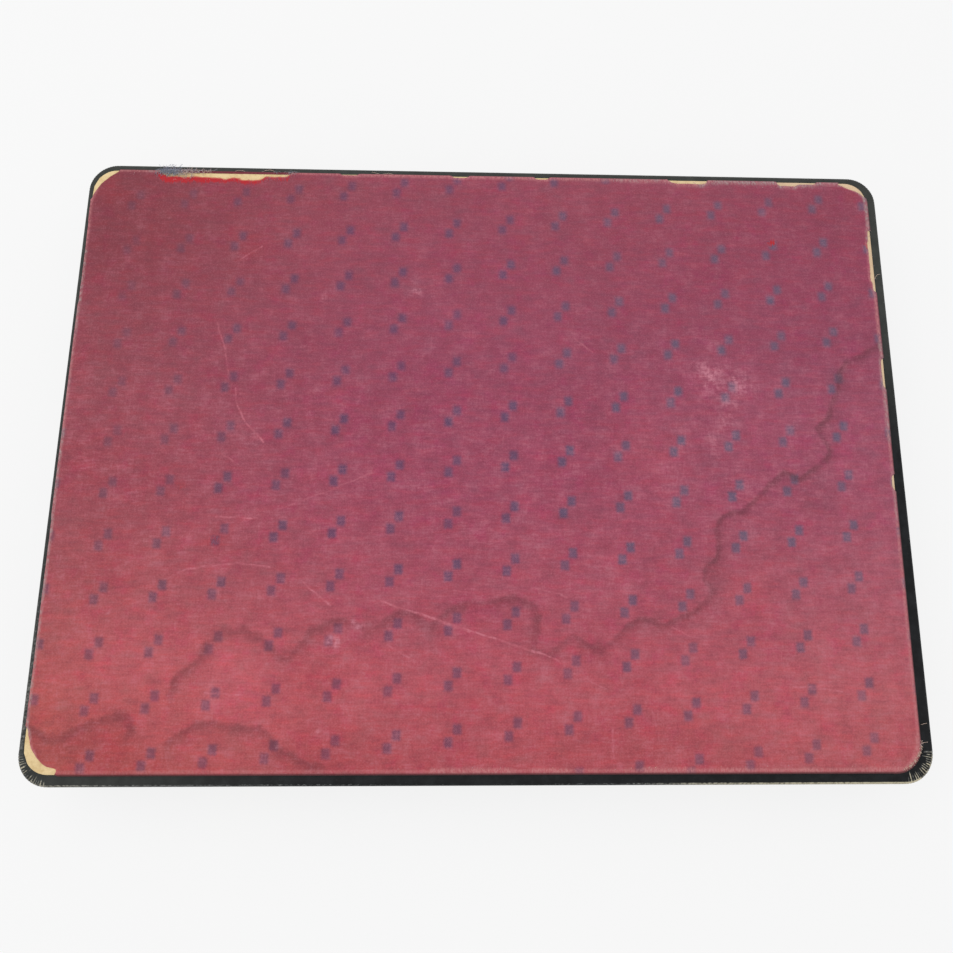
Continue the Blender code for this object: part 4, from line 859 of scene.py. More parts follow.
def makeCloth():
    # rows of constant y run from the left outline to the right one; near the back the rows give way to the
    # worn edge by a shift that fades inwards. A skirt turns down all round, over the card where it is whole
    xLow, yLow, xHigh, yHigh = panelBox
    radius, top, inset = panel["radius"], panel["top"], panel["inset"]
    box = (xLow + inset["left"] * mm, yLow + inset["front"] * mm,
           xHigh - inset["right"] * mm, yHigh - inset["back"] * mm)
    y = evenSteps(box[1], box[3], panel["step"])
    jag = (ragged(y, 0.9 * mm, 33) - 0.5) * 0.35 * mm
    left = sideOutline(y, box, radius, "left") + wornDepth("left", y, 21)
    right = sideOutline(y, box, radius, "right") - rightDraw(y) - wornDepth("right", y, 22)
    left = np.maximum(left, np.maximum(bite(y, "backLeft", "left"), bite(y, "frontLeft", "left")) + jag)
    right = np.minimum(right, bite(y, "backRight", "right") + jag)
    share = evenSteps(0, xHigh - xLow, panel["step"]) / (xHigh - xLow)
    gx = left[:, None] + share[None, :] * (right - left)[:, None]
    gy = np.repeat(y[:, None], len(share), 1)
    backGap = wornDepth("back", gx, 23)
    gy = gy - backGap * smoothStep(1 - (box[3] - gy) / panel["give"])
    flat = np.stack([gx, gy], -1)
    rows, columns = gx.shape
    swell = 0.10 * mm * (ragged(gx + 3.7 * gy, 0.03, 5) - 0.5)
    swell = swell + 0.06 * mm * (ragged(gy - 0.4 * gx, 0.011, 6) - 0.5)
    edge = np.minimum.reduce([gx - left[:, None], right[:, None] - gx, box[3] - backGap - gy, gy - box[1]])
    level = top - 0.05 * mm + swell * smoothStep(edge / (4 * mm))
    level = level - 0.12 * mm * (1 - smoothStep(edge / (0.8 * mm)))

    # the skirt reaches the panel's outline where the edge is whole, and stops at the card where it is worn
    loop = edgeLoop(rows, columns)
    around = flat.reshape(-1, 2)[loop]
    ahead = np.roll(around, -1, 0) - np.roll(around, 1, 0)
    outward = np.stack([ahead[:, 1], -ahead[:, 0]], -1) / np.linalg.norm(ahead, axis=1)[:, None]
    wholeLeft = sideOutline(around[:, 1], box, radius, "left")
    wholeRight = sideOutline(around[:, 1], box, radius, "right") - rightDraw(around[:, 1])
    drawnBack = np.minimum.reduce([around[:, 0] - wholeLeft, wholeRight - around[:, 0], box[3] - around[:, 1],
                                   around[:, 1] - box[1]])
    whole = 1 - smoothStep(drawnBack / (0.35 * mm))
    reachX = np.where(outward[:, 0] < 0, inset["left"], inset["right"]) * np.abs(outward[:, 0])
    reachY = np.where(outward[:, 1] < 0, inset["front"], inset["back"]) * np.abs(outward[:, 1])
    reach = (whole * (reachX + reachY) + (1 - whole) * 0.08) * mm
    bottom = whole * (panelLow + 0.05 * mm) + (1 - whole) * (panel["cardTop"] - 0.1 * mm)
    rim = level.reshape(-1)[loop]
    skirtZ = np.stack([np.maximum(rim - 0.17 * mm, bottom), np.maximum(rim - 0.60 * mm, bottom), bottom])
    skirtXY = around + np.array(panel["skirtReach"])[:, None, None] * reach[None, :, None] * outward
    skirt = np.concatenate([skirtXY, skirtZ[..., None]], -1).reshape(-1, 3)
    points = np.concatenate([np.concatenate([flat, level[..., None]], -1).reshape(-1, 3), skirt])
    # past the edge the skirt's values set its painted shade, less where it stops at the card
    turned = np.where(whole > 0.5, 1.0, 0.15) * np.array(panel["skirtPast"])[:, None]

    everywhere = points[:, :2]
    (tide, tideShown), (corner, cornerShown), (front, frontShown) = [
        distanceTo(everywhere, fromPhoto(marks[name], top), fromPhoto(marks[name + "End"], top))
        for name in ("tide", "corner", "front")]
    rightwards = smoothStep((everywhere[:, 0] - 20 * mm) / (70 * mm))
    tide = tide * (1 + 0.35 * rightwards)  # finer and darker to the right
    tideShown = tideShown * (0.80 + 0.20 * rightwards)
    tear = fromPhoto([(160, 184), (288, 184)], top)[:, 0]
    depth = (box[3] - wornDepth("back", everywhere[:, 0], 23) - everywhere[:, 1]) / mm
    width = 2.2 + 1.0 * ragged(everywhere[:, 0], 7 * mm, 41) + 0.7 * ragged(everywhere[:, 0], 0.9 * mm, 42)
    width = width + 1.1 * (1 - smoothStep((everywhere[:, 0] - tear[0] - 14 * mm) / (20 * mm)))
    fading = 1 - 0.5 * smoothStep((everywhere[:, 0] - tear.mean()) / (tear[1] - tear.mean()))
    fresh = between(everywhere[:, 0], tear[0], tear[1], 3 * mm) * smoothStep((width + 0.5 - depth) / 2.6)
    fresh = np.maximum(fresh * fading, spotsOver(everywhere, marks["specks"]))
    sides = dict(Back=yHigh - everywhere[:, 1], Front=everywhere[:, 1] - yLow, Left=everywhere[:, 0] - xLow,
                 Right=xHigh - everywhere[:, 0])
    ridge, greyed = np.zeros(len(points)), np.zeros(len(points))
    for name, gap in sides.items():
        along = everywhere[:, 0 if name in ("Back", "Front") else 1]
        near = gap < 7 * mm
        ridge = np.maximum(ridge, edgeWindows(name.lower(), along, edges["pale" + name]) * near)
        greyed = np.maximum(greyed, edgeWindows(name.lower(), along, edges.get("grey" + name, [])) * near)
    values = dict(tide=tide, tideShown=tideShown, fresh=fresh, ridge=ridge, greyed=greyed,
                  arcs=np.maximum(corner, front), arcsShown=np.minimum(cornerShown, frontShown),
                  edge=np.concatenate([edge.reshape(-1) / mm, turned.reshape(-1)]))
    for name in ("scuff", "reddened", "blotch", "washed"):
        values[name] = spotsOver(everywhere, marks[name])
    faces = [gridFaces(rows, columns), skirtFaces(loop, rows * columns, 3)]
    piece = makePiece("worn_cloth", points, faces, "lid", cloth, ["red_cloth"], values=values)
    unwrap = piece.data.uv_layers.new(name="OFBake")
    used = np.zeros(len(piece.data.loops), np.int32)
    piece.data.loops.foreach_get("vertex_index", used)
    spread = (points[used, :2] - [xLow, yLow]) / (xHigh - xLow) * 0.98 + 0.01
    unwrap.data.foreach_set("uv", spread.astype(np.float32).ravel())
    return piece


def sweep(box, radius, run, offsets, heights):
    # a band swept round a rounded rectangle: each profile point is an offset outwards and a height
    points, outward = roundedRun(box, radius, run)
    flat = points[None] + np.asarray(offsets)[..., None] * outward[None]
    return np.concatenate([flat, np.broadcast_to(np.asarray(heights), flat.shape[:2])[..., None]], -1)


def makeHem():
    # the turned-down edge that stays behind where the ridge above it has worn through
    run = runSteps(panelBox, panel["radius"], 0.8 * mm, 0.5 * mm)
    fringe = (ragged(run, 0.8 * mm, 51) - 0.5) * 0.3 * mm
    offsets = np.array([-0.05, 0.0, -0.10, -0.60, -1.45])[:, None] * mm + 0 * run
    rise, fringed = np.array([0.02, 0.40, 0.70, 0.92, 0.96]), np.array([0, 0, 0.3, 0.3, 0.2])
    heights = panelLow + rise[:, None] * mm + fringed[:, None] * fringe
    points = sweep(panelBox, panel["radius"], run, offsets, heights)
    faces = gridFaces(5, len(run), wrap=True)
    middles = points.reshape(-1, 3)[faces].mean(1)
    wornThrough = edgeWindows("back", middles[:, 0], edges["back"][:4]) > 0.8
    atBack = (middles[:, 1] > panelBox[3] - 2 * mm) & wornThrough
    count = points.shape[0] * points.shape[1]
    # the hem is darkened with painted shade, most at its foot
    hemShade = np.repeat(np.array([-1.0, -0.6, -0.45, -0.38, -0.3]), len(run))
    values = dict(edge=hemShade, reddened=np.full(count, 0.2))
    return makePiece("cloth_hem", points, faces[atBack], "lid", cloth, values=values)


def makeCard():
    # the card under the cloth: rows follow its rounded outline; its edge is soft and its face a little uneven
    box, low = nodeBox("card_panel")[:2]
    box = trimmed(box)
    y = evenSteps(box[1], box[3], 4 * mm)
    left, right = (sideOutline(y, box, panel["radius"] - 0.7 * mm, s) for s in ("left", "right"))
    right = right - rightDraw(y)
    share = evenSteps(0, box[2] - box[0], 4 * mm) / (box[2] - box[0])
    gx = left[:, None] + share[None] * (right - left)[:, None]
    gy = np.repeat(y[:, None], len(share), 1)
    edge = np.minimum.reduce([gx - left[:, None], right[:, None] - gx, box[3] - gy, gy - box[1]])
    soft = 0.3 * mm * (1 - smoothStep(edge / (0.9 * mm)))
    soft = soft + 0.12 * mm * (ragged(gx * 1.7 + gy, 1.5 * mm, 61) - 0.5)
    rows, columns = gx.shape
    loop = edgeLoop(rows, columns)
    top = np.stack([gx, gy, panel["cardTop"] - soft], -1).reshape(-1, 3)
    wall = top[loop] * [1, 1, 0] + [0, 0, low]
    count = rows * columns
    under = fanFaces(count + np.arange(len(loop)), count + len(loop))[:, ::-1]
    faces = [gridFaces(rows, columns), skirtFaces(loop, count, 1), under]
    points = np.concatenate([top, wall, wall.mean(0, keepdims=True)])
    return makePiece("bare_card", points, faces, "lid", card, ["card_panel"])


def tubes(paths, radius, sides):
    # thin tubes along many paths (count, steps, 3): a ring of sides round each point, square to the path
    ahead = np.gradient(paths, axis=1)
    ahead /= np.linalg.norm(ahead, axis=2, keepdims=True) + 1e-12
    across = np.cross(ahead, [0.31, 0.17, 0.93])
    across /= np.linalg.norm(across, axis=2, keepdims=True) + 1e-12
    up = np.cross(across, ahead)
    angle = np.linspace(0, 2 * np.pi, sides, endpoint=False)[None, None, :, None]
    ring = across[:, :, None] * np.cos(angle) + up[:, :, None] * np.sin(angle)
    points = paths[:, :, None] + ring * radius
    count, steps = paths.shape[:2]
    one = gridFaces(steps, sides, wrap=True)[:, ::-1]
    faces = one[None] + (np.arange(count) * steps * sides)[:, None, None]
    starts = np.arange(count)[:, None] * steps * sides + np.arange(sides)[None]
    return points.reshape(-1, 3), [faces.reshape(-1, 4), starts, (starts + (steps - 1) * sides)[:, ::-1]]


threads = dict(
    # a clump as (from, to) pixels along the back edge, how many, mm long, how pale, and headings in degrees
    clumps=[(161, 177, 170, (1.5, 4.6), 0.40, (15, 165)), (162, 179, 70, (1.2, 3.4), 0.45, (170, 370)),
            (176, 194, 60, (1.5, 4.0), 0.75, (-70, 60)), (172, 214, 60, (1.2, 3.0), 0.75, (20, 160)),
            (276, 296, 18, (1.2, 2.6), 0.60, (10, 170))],
    # short broken ends as (first pixel, last pixel, how many, heading in degrees, how pale)
    ends=[((172, 180), (284, 181), 50, 90, 0.8), ((612, 182), (850, 191), 60, 90, 0.7),
          ((390, 769.5), (720, 770), 30, 80, 0.85), ((640, 769), (898, 766), 40, 75, 0.9),
          ((865, 206), (875, 288), 14, 0, 0.8), ((921, 740), (919.5, 751), 22, 340, 0.95),
          ((919.5, 751), (913, 762), 34, 315, 0.95), ((913, 762), (903, 769), 24, 290, 0.95),
          ((120, 174), (168, 176), 14, 90, 0.7)],
    hairs=[[(372, 172), (380, 174.5), (388, 173.5), (396, 175)],
           [(873, 280), (875, 278), (877, 275), (880, 274)],
           [(262, 172), (266, 170.5), (270, 170), (275, 171.5)],
           [(234, 172), (238, 170.5), (242, 170.5), (246, 172)],
           [(921, 724.5), (923, 724), (925, 723.5), (927, 723.2)],
           [(923, 742.6), (925, 742.4), (926, 742.2), (928, 742)]],
    # heights in mm: on the panel, on the margin, of short ends, of hairs, and of the plane they are read on
    onPanel=38.8, onMargin=37.3, endLevel=38.9, hairLevel=37.5, hairPlane=37.6)


def threadFinish():
    # unravelled cotton: blue-grey to pale pink by thread
    f = Finish("unravelledThread")
    colour = f.ramp(f.attribute("tone"), [(0.0, srgb(104, 116, 134)), (0.45, srgb(146, 152, 166)),
                                          (0.8, srgb(196, 172, 176)), (1.0, srgb(226, 200, 178))])
    fibre = f.noise(0.3, 2.0)
    return f.done(f.shade(colour, (fibre, 0.4)), 0.9, fibre, bump=0.3, depth=0.05)


def makeThreads():
    # a clump's threads leave the torn edge, curl and come to rest on the margin; a short end only bends over
    chance = np.random.default_rng(7)
    finish = threadFinish()

    def bundle(name, paths, tones, radius, sides):
        # one piece of many tubes, each with its own tone
        points, faces = tubes(paths, radius * mm, sides)
        tone = np.repeat(tones, paths.shape[1] * sides)
        return makePiece(name, points, faces, "lid", finish, values=dict(tone=tone))

    t = np.linspace(0, 1, 12)[None, :]
    paths, tones = [], []
    for low, high, count, (shortest, longest), pale, (least, most) in threads["clumps"]:
        ends = fromPhoto([(low, 174), (high, 174)], panel["top"])[:, 0]
        x = ends[0] + (ends[1] - ends[0]) * chance.random(count)
        y = panelBox[3] - 2.4 * mm + 2.2 * mm * chance.random(count)
        length = (shortest + (longest - shortest) * chance.random(count)) * mm
        heading = np.radians(least + (most - least) * chance.random(count))
        turn = heading[:, None] + ((chance.random(count) - 0.5) * 5.0)[:, None] * t
        px = x[:, None] + np.cumsum(np.cos(turn), 1) * length[:, None] / 11
        py = np.minimum(y[:, None] + np.cumsum(np.sin(turn), 1) * length[:, None] / 11,
                        cadBox[1][1] + 0.6 * mm)
        over = smoothStep((py - panelBox[3] + 0.6 * mm) / (1.2 * mm))
        lift = np.sin(np.pi * t) * chance.random(count)[:, None] * 0.7 * mm + 0.25 * mm
        level = threads["onPanel"] * mm * (1 - over) + threads["onMargin"] * mm * over
        paths.append(np.stack([px, py, level + lift], -1))
        tones.append(np.clip(pale + 0.5 * (chance.random(count) - 0.5), 0, 1))
    clump = bundle("frayed_threads", np.concatenate(paths), np.concatenate(tones), 0.06, 4)
    s = np.linspace(0, 1, 5)[None, :]
    paths, tones = [], []
    for first, last, count, heading, pale in threads["ends"]:
        start, end = fromPhoto([first, last], panel["top"])
        spots = start + (end - start) * chance.random(count)[:, None]
        spots = spots + (chance.random((count, 2)) - 0.5) * 0.8 * mm
        way = np.radians(heading + 50 * (chance.random(count) - 0.5))
        bent = way[:, None] + (chance.random(count) - 0.5)[:, None] * 1.6 * s
        length = (0.5 + 0.8 * chance.random(count))[:, None] * mm
        tones.append(np.clip(pale + 0.3 * (chance.random(count) - 0.5), 0, 1))
        px = spots[:, :1] + np.cumsum(np.cos(bent), 1) * length / 4
        py = spots[:, 1:] + np.cumsum(np.sin(bent), 1) * length / 4
        bend = 0.2 * mm * np.sin(np.pi * s) * chance.random(count)[:, None]
        paths.append(np.stack([px, py, threads["endLevel"] * mm + bend - 0.3 * mm * s], -1))
    short = bundle("broken_threads", np.concatenate(paths), np.concatenate(tones), 0.06, 4)
    u = np.linspace(0, 3, 16)
    spots = [fromPhoto(hair, threads["hairPlane"] * mm) for hair in threads["hairs"]]
    wave = threads["hairLevel"] * mm + 0.3 * mm * np.sin(u * 2.1) ** 2
    paths = np.array([np.stack([*(np.interp(u, range(4), values) for values in spot.T), wave], -1)
                      for spot in spots])
    stray = bundle("stray_hairs", paths, np.full(len(paths), 0.95), 0.07, 5)
    return [clump, short, stray]


redCloth = makeCloth()
hem = makeHem()
makeCard()
loose = makeThreads()
print("cloth panel made")


# The leathercloth coverings
casing = dict(radius=0.013, arris=0.0016, skin=0.0007, pleats=17, pleatDepth=0.20, hingeY=0.1355,
              parting=0.02195, groove=math.tan(math.radians(52.5)), lidTop=0.0372, lidEdge=0.0221,
              baseLow=0.0025, baseEdge=0.0218)
caseBox = (cadBox[0][0], cadBox[0][1], cadBox[1][0], cadBox[1][1])
lidWearAndHighlight = dict(
    # by corner: front right, back right, back left, front left
    crest=(0.68, 0.82, 0.82, 0.68), pleats=(0.62, 0.34, 0.22, 0.56), across=(5.0, 4.0, 3.8, 4.5),
    rounded=(0.56, 0.20, 0.15, 0.36),
    # the thin pale line along the front and left arrises, worn and partly a painted highlight, as (pixel,
    # amount), and along the other two
    front=[((20, 780), 0.55), ((120, 785), 0.42), ((330, 787), 0.36), ((480, 787), 0.20), ((640, 786), 0.42),
           ((700, 785), 0.57), ((865, 781), 0.66), ((930, 778), 0.72)],
    left=[((80, 240), 0.20), ((43, 560), 0.25), ((36, 620), 0.36), ((29, 680), 0.43), ((24, 725), 0.43)],
    elsewhere=0.18)


def cornerMiddles():
    # distances along the case's outline to the middles of its corners, from the front right one on
    stops = runStops(caseBox, casing["radius"])
    return (stops[1::2] + stops[2::2]) / 2


def pleat(run, seed):
    # radial pleats in the rounded corners: ridges between narrow folds, fading out along the straights
    stops = runStops(caseBox, casing["radius"])
    reach = (stops[2] - stops[1]) / 2
    away = np.min(np.abs(run[None] - cornerMiddles()[:, None]), 0)
    fade = 1 - smoothStep((away - 0.8 * reach) / (0.5 * reach))
    phase = run / (2 * reach) * casing["pleats"] + 0.55 * ragged(run, 2.5 * mm, seed)
    return fade, np.abs(np.cos(np.pi * phase)) ** 0.7


def band(profile, run):
    # a profile's values, the same all along the run
    return np.repeat(np.asarray(profile, float)[:, None], len(run), 1)


def makeLidCovering():
    # swept profile: under the card, flat margin, rounded arris, side wall, cut edge turned in at the parting
    arris, top = casing["arris"], casing["lidTop"]
    run = runSteps(caseBox, casing["radius"], 0.8 * mm, 0.14 * mm)
    flat, outward = roundedRun(caseBox, casing["radius"], run)
    turn = np.linspace(0, np.pi / 2, 9)
    margin = np.array([-8, -6, -4.8, -4, -3.2, -2.6, -2.1]) * mm
    offsets = np.concatenate([margin, -arris + arris * np.sin(turn)])
    heights = np.concatenate([np.full(7, top), top - arris + arris * np.cos(turn)])

    def lowest(offset):
        # the lid's edge, or the sloping face of the groove along the back where that is higher
        y = flat[:, 1] + offset * outward[:, 1]
        slope = casing["parting"] + casing["groove"] * (y - casing["hingeY"])
        return np.maximum(casing["lidEdge"], slope + 0.1 * mm)

    share = np.linspace(0, 1, 9)[1:]
    wall = top - arris
    end = lowest(0.0) + 0.3 * mm
    wallHeights = wall + (end - wall)[None] * share[:, None]
    lip = [(-0.1 * mm, 0.06 * mm), (-0.32 * mm, 0.0), (-casing["skin"], 0.0), (-casing["skin"], 2.0 * mm)]
    allOffsets = band(np.concatenate([offsets, np.zeros(len(share)), [o for o, h in lip]]), run)
    allHeights = np.concatenate([band(heights, run), wallHeights, [lowest(o) + h for o, h in lip]])
    fade, fold = pleat(run, 71)
    onArris = smoothStep((allOffsets + 6.0 * mm) / (4.5 * mm)) * smoothStep((allHeights - 0.0290) / 0.0055)
    push = -casing["pleatDepth"] * mm * (1 - fold)[None] * fade[None] * onArris
    flatness = np.clip((allHeights - (top - arris)) / arris, 0, 1)
    uneven = 0.05 * mm * (ragged(run, 4 * mm, 72) - 0.5)[None] * smoothStep((allOffsets + 7 * mm) / (4 * mm))
    points = sweep(caseBox, casing["radius"], run, allOffsets + push * (1 - flatness),
                   allHeights + push * flatness + uneven)

    # worn arris: a thin pale line along the straights, partly a painted highlight, and at the corners the
    # pleats' crests across the margin
    x, y = flat[:, 0], flat[:, 1]
    nearest = np.argmin(np.abs(run[None] - cornerMiddles()[:, None]), 0)
    crestFrom, pleats, reach, rounded = (np.array(lidWearAndHighlight[key])[nearest]
                                         for key in ("crest", "pleats", "across", "rounded"))
    crest = smoothStep((fold - crestFrom) / 0.24)
    atCorner = fade * pleats * crest * (0.7 + 0.5 * ragged(run, 1.1 * mm, 73))
    across = reach + 2.2 * (ragged(run, 1.1 * mm, 74) - 0.5)
    pixels, amounts = zip(*lidWearAndHighlight["front"])
    front = np.where(y < cadBox[0][1] + 2 * mm, np.interp(x, fromPhoto(pixels, top)[:, 0], amounts), 0.0)
    pixels, amounts = zip(*lidWearAndHighlight["left"])
    atLeft = x < cadBox[0][0] + 2 * mm
    leftSide = np.where(atLeft, np.interp(-y, -fromPhoto(pixels, top)[:, 1], amounts), 0.0)
    elsewhere = np.where((y > cadBox[1][1] - 2 * mm) | (x > cadBox[1][0] - 2 * mm), lidWearAndHighlight["elsewhere"], 0.0)
    wornHighlightLine = np.maximum.reduce([front, leftSide, elsewhere, fade * rounded])
    lineWidth = (1.42 + 1.1 * atLeft * (1 - fade))[None] * mm
    onLine = smoothStep((allOffsets + allHeights - top + lineWidth) / (0.3 * mm))
    onMargin = smoothStep((allOffsets + across[None] * mm) / (1.8 * mm))
    onMargin = onMargin * smoothStep((allHeights - 0.0310) / 0.002)
    lowEdge = smoothStep(1 - (allHeights - allHeights[-2]) / (1.0 * mm)) * 0.24
    wearAndHighlight = np.maximum.reduce([onLine * wornHighlightLine[None], onMargin * atCorner[None], lowEdge])
    faces = gridFaces(len(allOffsets), len(run), wrap=True)[:, ::-1]
    return makePiece("lid_leathercloth", points, faces, "lid", leathercloth,
                     ["lid_covering"], values=dict(wearAndHighlight=wearAndHighlight))


def makeBaseCovering():
    # swept profile: cut edge at the parting, side wall, rounded arris and a little of the bottom, then rings
    # to its middle; the two catch plates' windows are left open
    arris, low = casing["arris"], casing["baseLow"]
    plates = [nodeBox("catch_plate_left"), nodeBox("catch_plate_right")]
    spare = 0.3 * mm
    windows = [(plate[0][0] - spare, plate[0][2] + spare) for plate in plates]
    zWindow = (plates[0][1] - spare, plates[0][2] + spare)
    also = np.concatenate([np.array(w) - caseBox[0] - casing["radius"] for w in windows])
    run = runSteps(caseBox, casing["radius"], 1.6 * mm, 0.28 * mm, also)
    flat, outward = roundedRun(caseBox, casing["radius"], run)

    def highest(offset):
        # the base's edge, or the sloping face of the groove along the back where that is lower
        y = flat[:, 1] + offset * outward[:, 1]
        slope = casing["parting"] - casing["groove"] * (y - casing["hingeY"])
        return np.minimum(casing["baseEdge"], slope - 0.1 * mm)

    lip = [(-casing["skin"], -2.0 * mm), (-casing["skin"], 0.0), (-0.32 * mm, 0.0), (-0.1 * mm, -0.06 * mm)]
    wallEnd = low + arris
    wallTop = casing["baseEdge"] - 0.3 * mm
    rows = np.array([wallTop / mm, zWindow[1] / mm, 18, 15.5, 13, 10.5, zWindow[0] / mm, 6,
                     wallEnd / mm]) * mm
    stretch = (highest(0.0) - 0.3 * mm - wallEnd) / (wallTop - wallEnd)
    wallHeights = wallEnd + (rows[:, None] - wallEnd) * stretch[None]
    turn = np.linspace(0, np.pi / 2, 8)[1:]
    under = np.concatenate([-arris + arris * np.cos(turn), np.array([-3, -5, -8, -11]) * mm])
    underHeights = np.concatenate([low + arris - arris * np.sin(turn), np.full(4, low)])
    allOffsets = band(np.concatenate([[o for o, h in lip], np.zeros(len(rows)), under]), run)
    allHeights = np.concatenate([[highest(o) + h for o, h in lip], wallHeights, band(underHeights, run)])
    fade, fold = pleat(run, 73)
    onArris = smoothStep((allOffsets + 8.0 * mm) / (5 * mm)) * smoothStep((0.0100 - allHeights) / 0.005)
    flatness = np.clip((wallEnd - allHeights) / arris, 0, 1)
    push = -casing["pleatDepth"] * mm * (1 - fold)[None] * fade[None] * onArris
    points = sweep(caseBox, casing["radius"], run, allOffsets + push * (1 - flatness),
                   allHeights - push * flatness)
    rings = np.array([points[-1] * [1 - s, 1 - s, 1] for s in (0.2, 0.45, 0.7, 0.9)])
    points = np.concatenate([points, rings])
    faces = gridFaces(points.shape[0], len(run), wrap=True)[:, ::-1]
    x, y, z = points.reshape(-1, 3)[faces].mean(1).T
    inFront = (y < caseBox[1] + 1 * mm) & (z > zWindow[0]) & (z < zWindow[1])
    gone = inFront & np.any([(x > left) & (x < right) for left, right in windows], axis=0)
    last = (points.shape[0] - 1) * len(run) + np.arange(len(run))
    flatPoints = np.concatenate([points.reshape(-1, 3), [[0, 0, low]]])
    cap = fanFaces(last, len(flatPoints) - 1)[:, ::-1]
    lowEdge = between(allOffsets - (allHeights - low), -3.0 * mm, -0.6 * mm, 0.8 * mm)
    strip = smoothStep(1 - (allHeights[1] - allHeights) / (1.0 * mm)) * 0.28
    wearAndHighlight = np.maximum(lowEdge * np.maximum(0.34, fade[None] * 0.75 * fold[None] ** 2), strip)
    wearAndHighlight = np.concatenate([wearAndHighlight.ravel(), np.zeros(len(rings) * len(run) + 1)])

    # a lip goes in round each window: its corners at the outside, then at the rim
    extra = []
    for left, right in windows:
        loop = np.array([(left, zWindow[0]), (right, zWindow[0]), (right, zWindow[1]), (left, zWindow[1])])
        first = len(flatPoints)
        both = np.concatenate([np.c_[loop[:, 0], np.full(4, depth), loop[:, 1]]
                               for depth in (caseBox[1], caseBox[1] + 0.9 * mm)])
        flatPoints = np.concatenate([flatPoints, both])
        wearAndHighlight = np.concatenate([wearAndHighlight, np.full(8, 0.2)])
        extra.append(gridFaces(2, 4, wrap=True, first=first))
    return makePiece("base_leathercloth", flatPoints, [faces[~gone], cap] + extra, "base", leathercloth,
                     ["base_covering"], sharp=50, values=dict(wearAndHighlight=wearAndHighlight))


makeLidCovering()
makeBaseCovering()
print("coverings made")


# Inside: boards, ships, pegs, feet
def weld(points, faces):
    # merges points that share a place
    keys, back = np.unique(np.round(np.asarray(points).reshape(-1, 3), 6), axis=0, return_inverse=True)
    return keys, [back.reshape(-1)[g] for g in faces]


def makeBoard(name, node, up, body):
    # each cell is a square round a chamfered hole: rings from the square's edge in to the hole, through it,
    # and out again on the back, all cells at once; round them a bevelled border joins the two faces
    box, low, high = nodeBox(node)
    face, back = (high, low) if up else (low, high)
    sign = 1.0 if up else -1.0
    cells, pitch, radius = grid["cells"], grid["pitch"], grid["holeRadius"]
    angle = np.linspace(0, 2 * np.pi, grid["holeSteps"], endpoint=False)
    ring = np.stack([np.cos(angle), np.sin(angle)], -1)
    edge = ring * (pitch / 2 / np.maximum(np.abs(ring[:, 0]), np.abs(ring[:, 1])))[:, None]
    rows = [(edge, face), (ring * (radius + grid["chamfer"]), face),
            (ring * radius, face - sign * grid["chamfer"]), (ring * radius, back), (edge, back)]
    cell = np.array([np.c_[r, np.full(len(r), z)] for r, z in rows])
    places = np.arange(cells) - (cells - 1) / 2
    middle = places * pitch
    cx, cy = np.meshgrid(middle, middle)
    centres = np.stack([cx.ravel(), cy.ravel(), np.zeros(cx.size)], -1)
    flat = (centres[:, None, None] + cell[None]).reshape(-1, 3)
    one = gridFaces(len(rows), len(ring), wrap=True)
    faces = (one[None] + (np.arange(len(centres)) * cell.shape[0] * len(ring))[:, None, None]).reshape(-1, 4)

    # the border runs from the grid's outline out to a small bevel, down the edge and back in behind
    inner, bevel = cells / 2 * pitch, grid["bevel"]
    steps = np.tan(np.pi / 8) / 2 * np.array([0, -1, 0, 1]) + np.array([-0.5, 0, 0, 0])
    line = np.add.outer(places, steps).ravel() / (cells / 2)
    ones = np.ones(len(line))
    loop = np.concatenate([np.c_[line, -ones], np.c_[ones, line], np.c_[-line, ones], np.c_[-ones, -line]])
    outer = np.array([box[2], box[3]])
    levels = [(loop * inner, face), (loop * (outer - bevel), face), (loop * outer, face - sign * bevel),
              (loop * outer, back), (loop * inner, back)]
    border = np.array([np.c_[xy, np.full(len(xy), z)] for xy, z in levels])
    borderFaces = gridFaces(len(levels), len(loop), wrap=True, first=len(flat))
    groups = [faces, borderFaces[:, ::-1]] if up else [faces[:, ::-1], borderFaces]
    flat, groups = weld(np.concatenate([flat, border.reshape(-1, 3)]), groups)
    return makePiece(name, flat, groups, body, pegboard, [node], sharp=35)


labels = dict(size=6.5, beside=4.6, lift=0.03)  # mm: height, and how far outside the grid and over the board


def makeLabels(name, z, up, body):
    # numbers along one side and letters down the other, set as text and laid flat on the board as one mesh
    sign = 1.0 if up else -1.0
    z = z + sign * labels["lift"] * mm
    edge = grid["cells"] / 2 * grid["pitch"] + labels["beside"] * mm
    verts, tris, count = [], [], 0
    for index in range(grid["cells"]):
        middle = (index - (grid["cells"] - 1) / 2) * grid["pitch"]
        for text, x, y in ((str(index + 1), middle, edge), ("ABCDEFGHIJ"[index], -edge, -middle)):
            curve = bpy.data.curves.new("label", "FONT")
            curve.body, curve.size = text, labels["size"] * mm
            curve.align_x = curve.align_y = "CENTER"
            made = bpy.data.objects.new("label", curve)
            bpy.context.scene.collection.objects.link(made)
            bpy.context.view_layer.update()
            mesh = bpy.data.meshes.new_from_object(made.evaluated_get(bpy.context.evaluated_depsgraph_get()))
            mesh.calc_loop_triangles()
            co = np.zeros(len(mesh.vertices) * 3)
            mesh.vertices.foreach_get("co", co)
            tri = np.zeros(len(mesh.loop_triangles) * 3, np.int32)
            mesh.loop_triangles.foreach_get("vertices", tri)
            co = co.reshape(-1, 3)
            verts.append(np.c_[x + co[:, 0], sign * (y + co[:, 1]), np.full(len(co), z)])
            tris.append(tri.reshape(-1, 3) + count)
            count += len(co)
            bpy.data.objects.remove(made)
            bpy.data.curves.remove(curve)
            bpy.data.meshes.remove(mesh)
    faces = np.concatenate(tris)
    points = np.concatenate(verts)
    a, b, c = (points[faces[:, k]] for k in range(3))
    facing = np.cross(b - a, c - a)[:, 2] * sign
    faces = np.where((facing > 0)[:, None], faces, faces[:, ::-1])
    return makePiece(name, points, faces, body, ink)


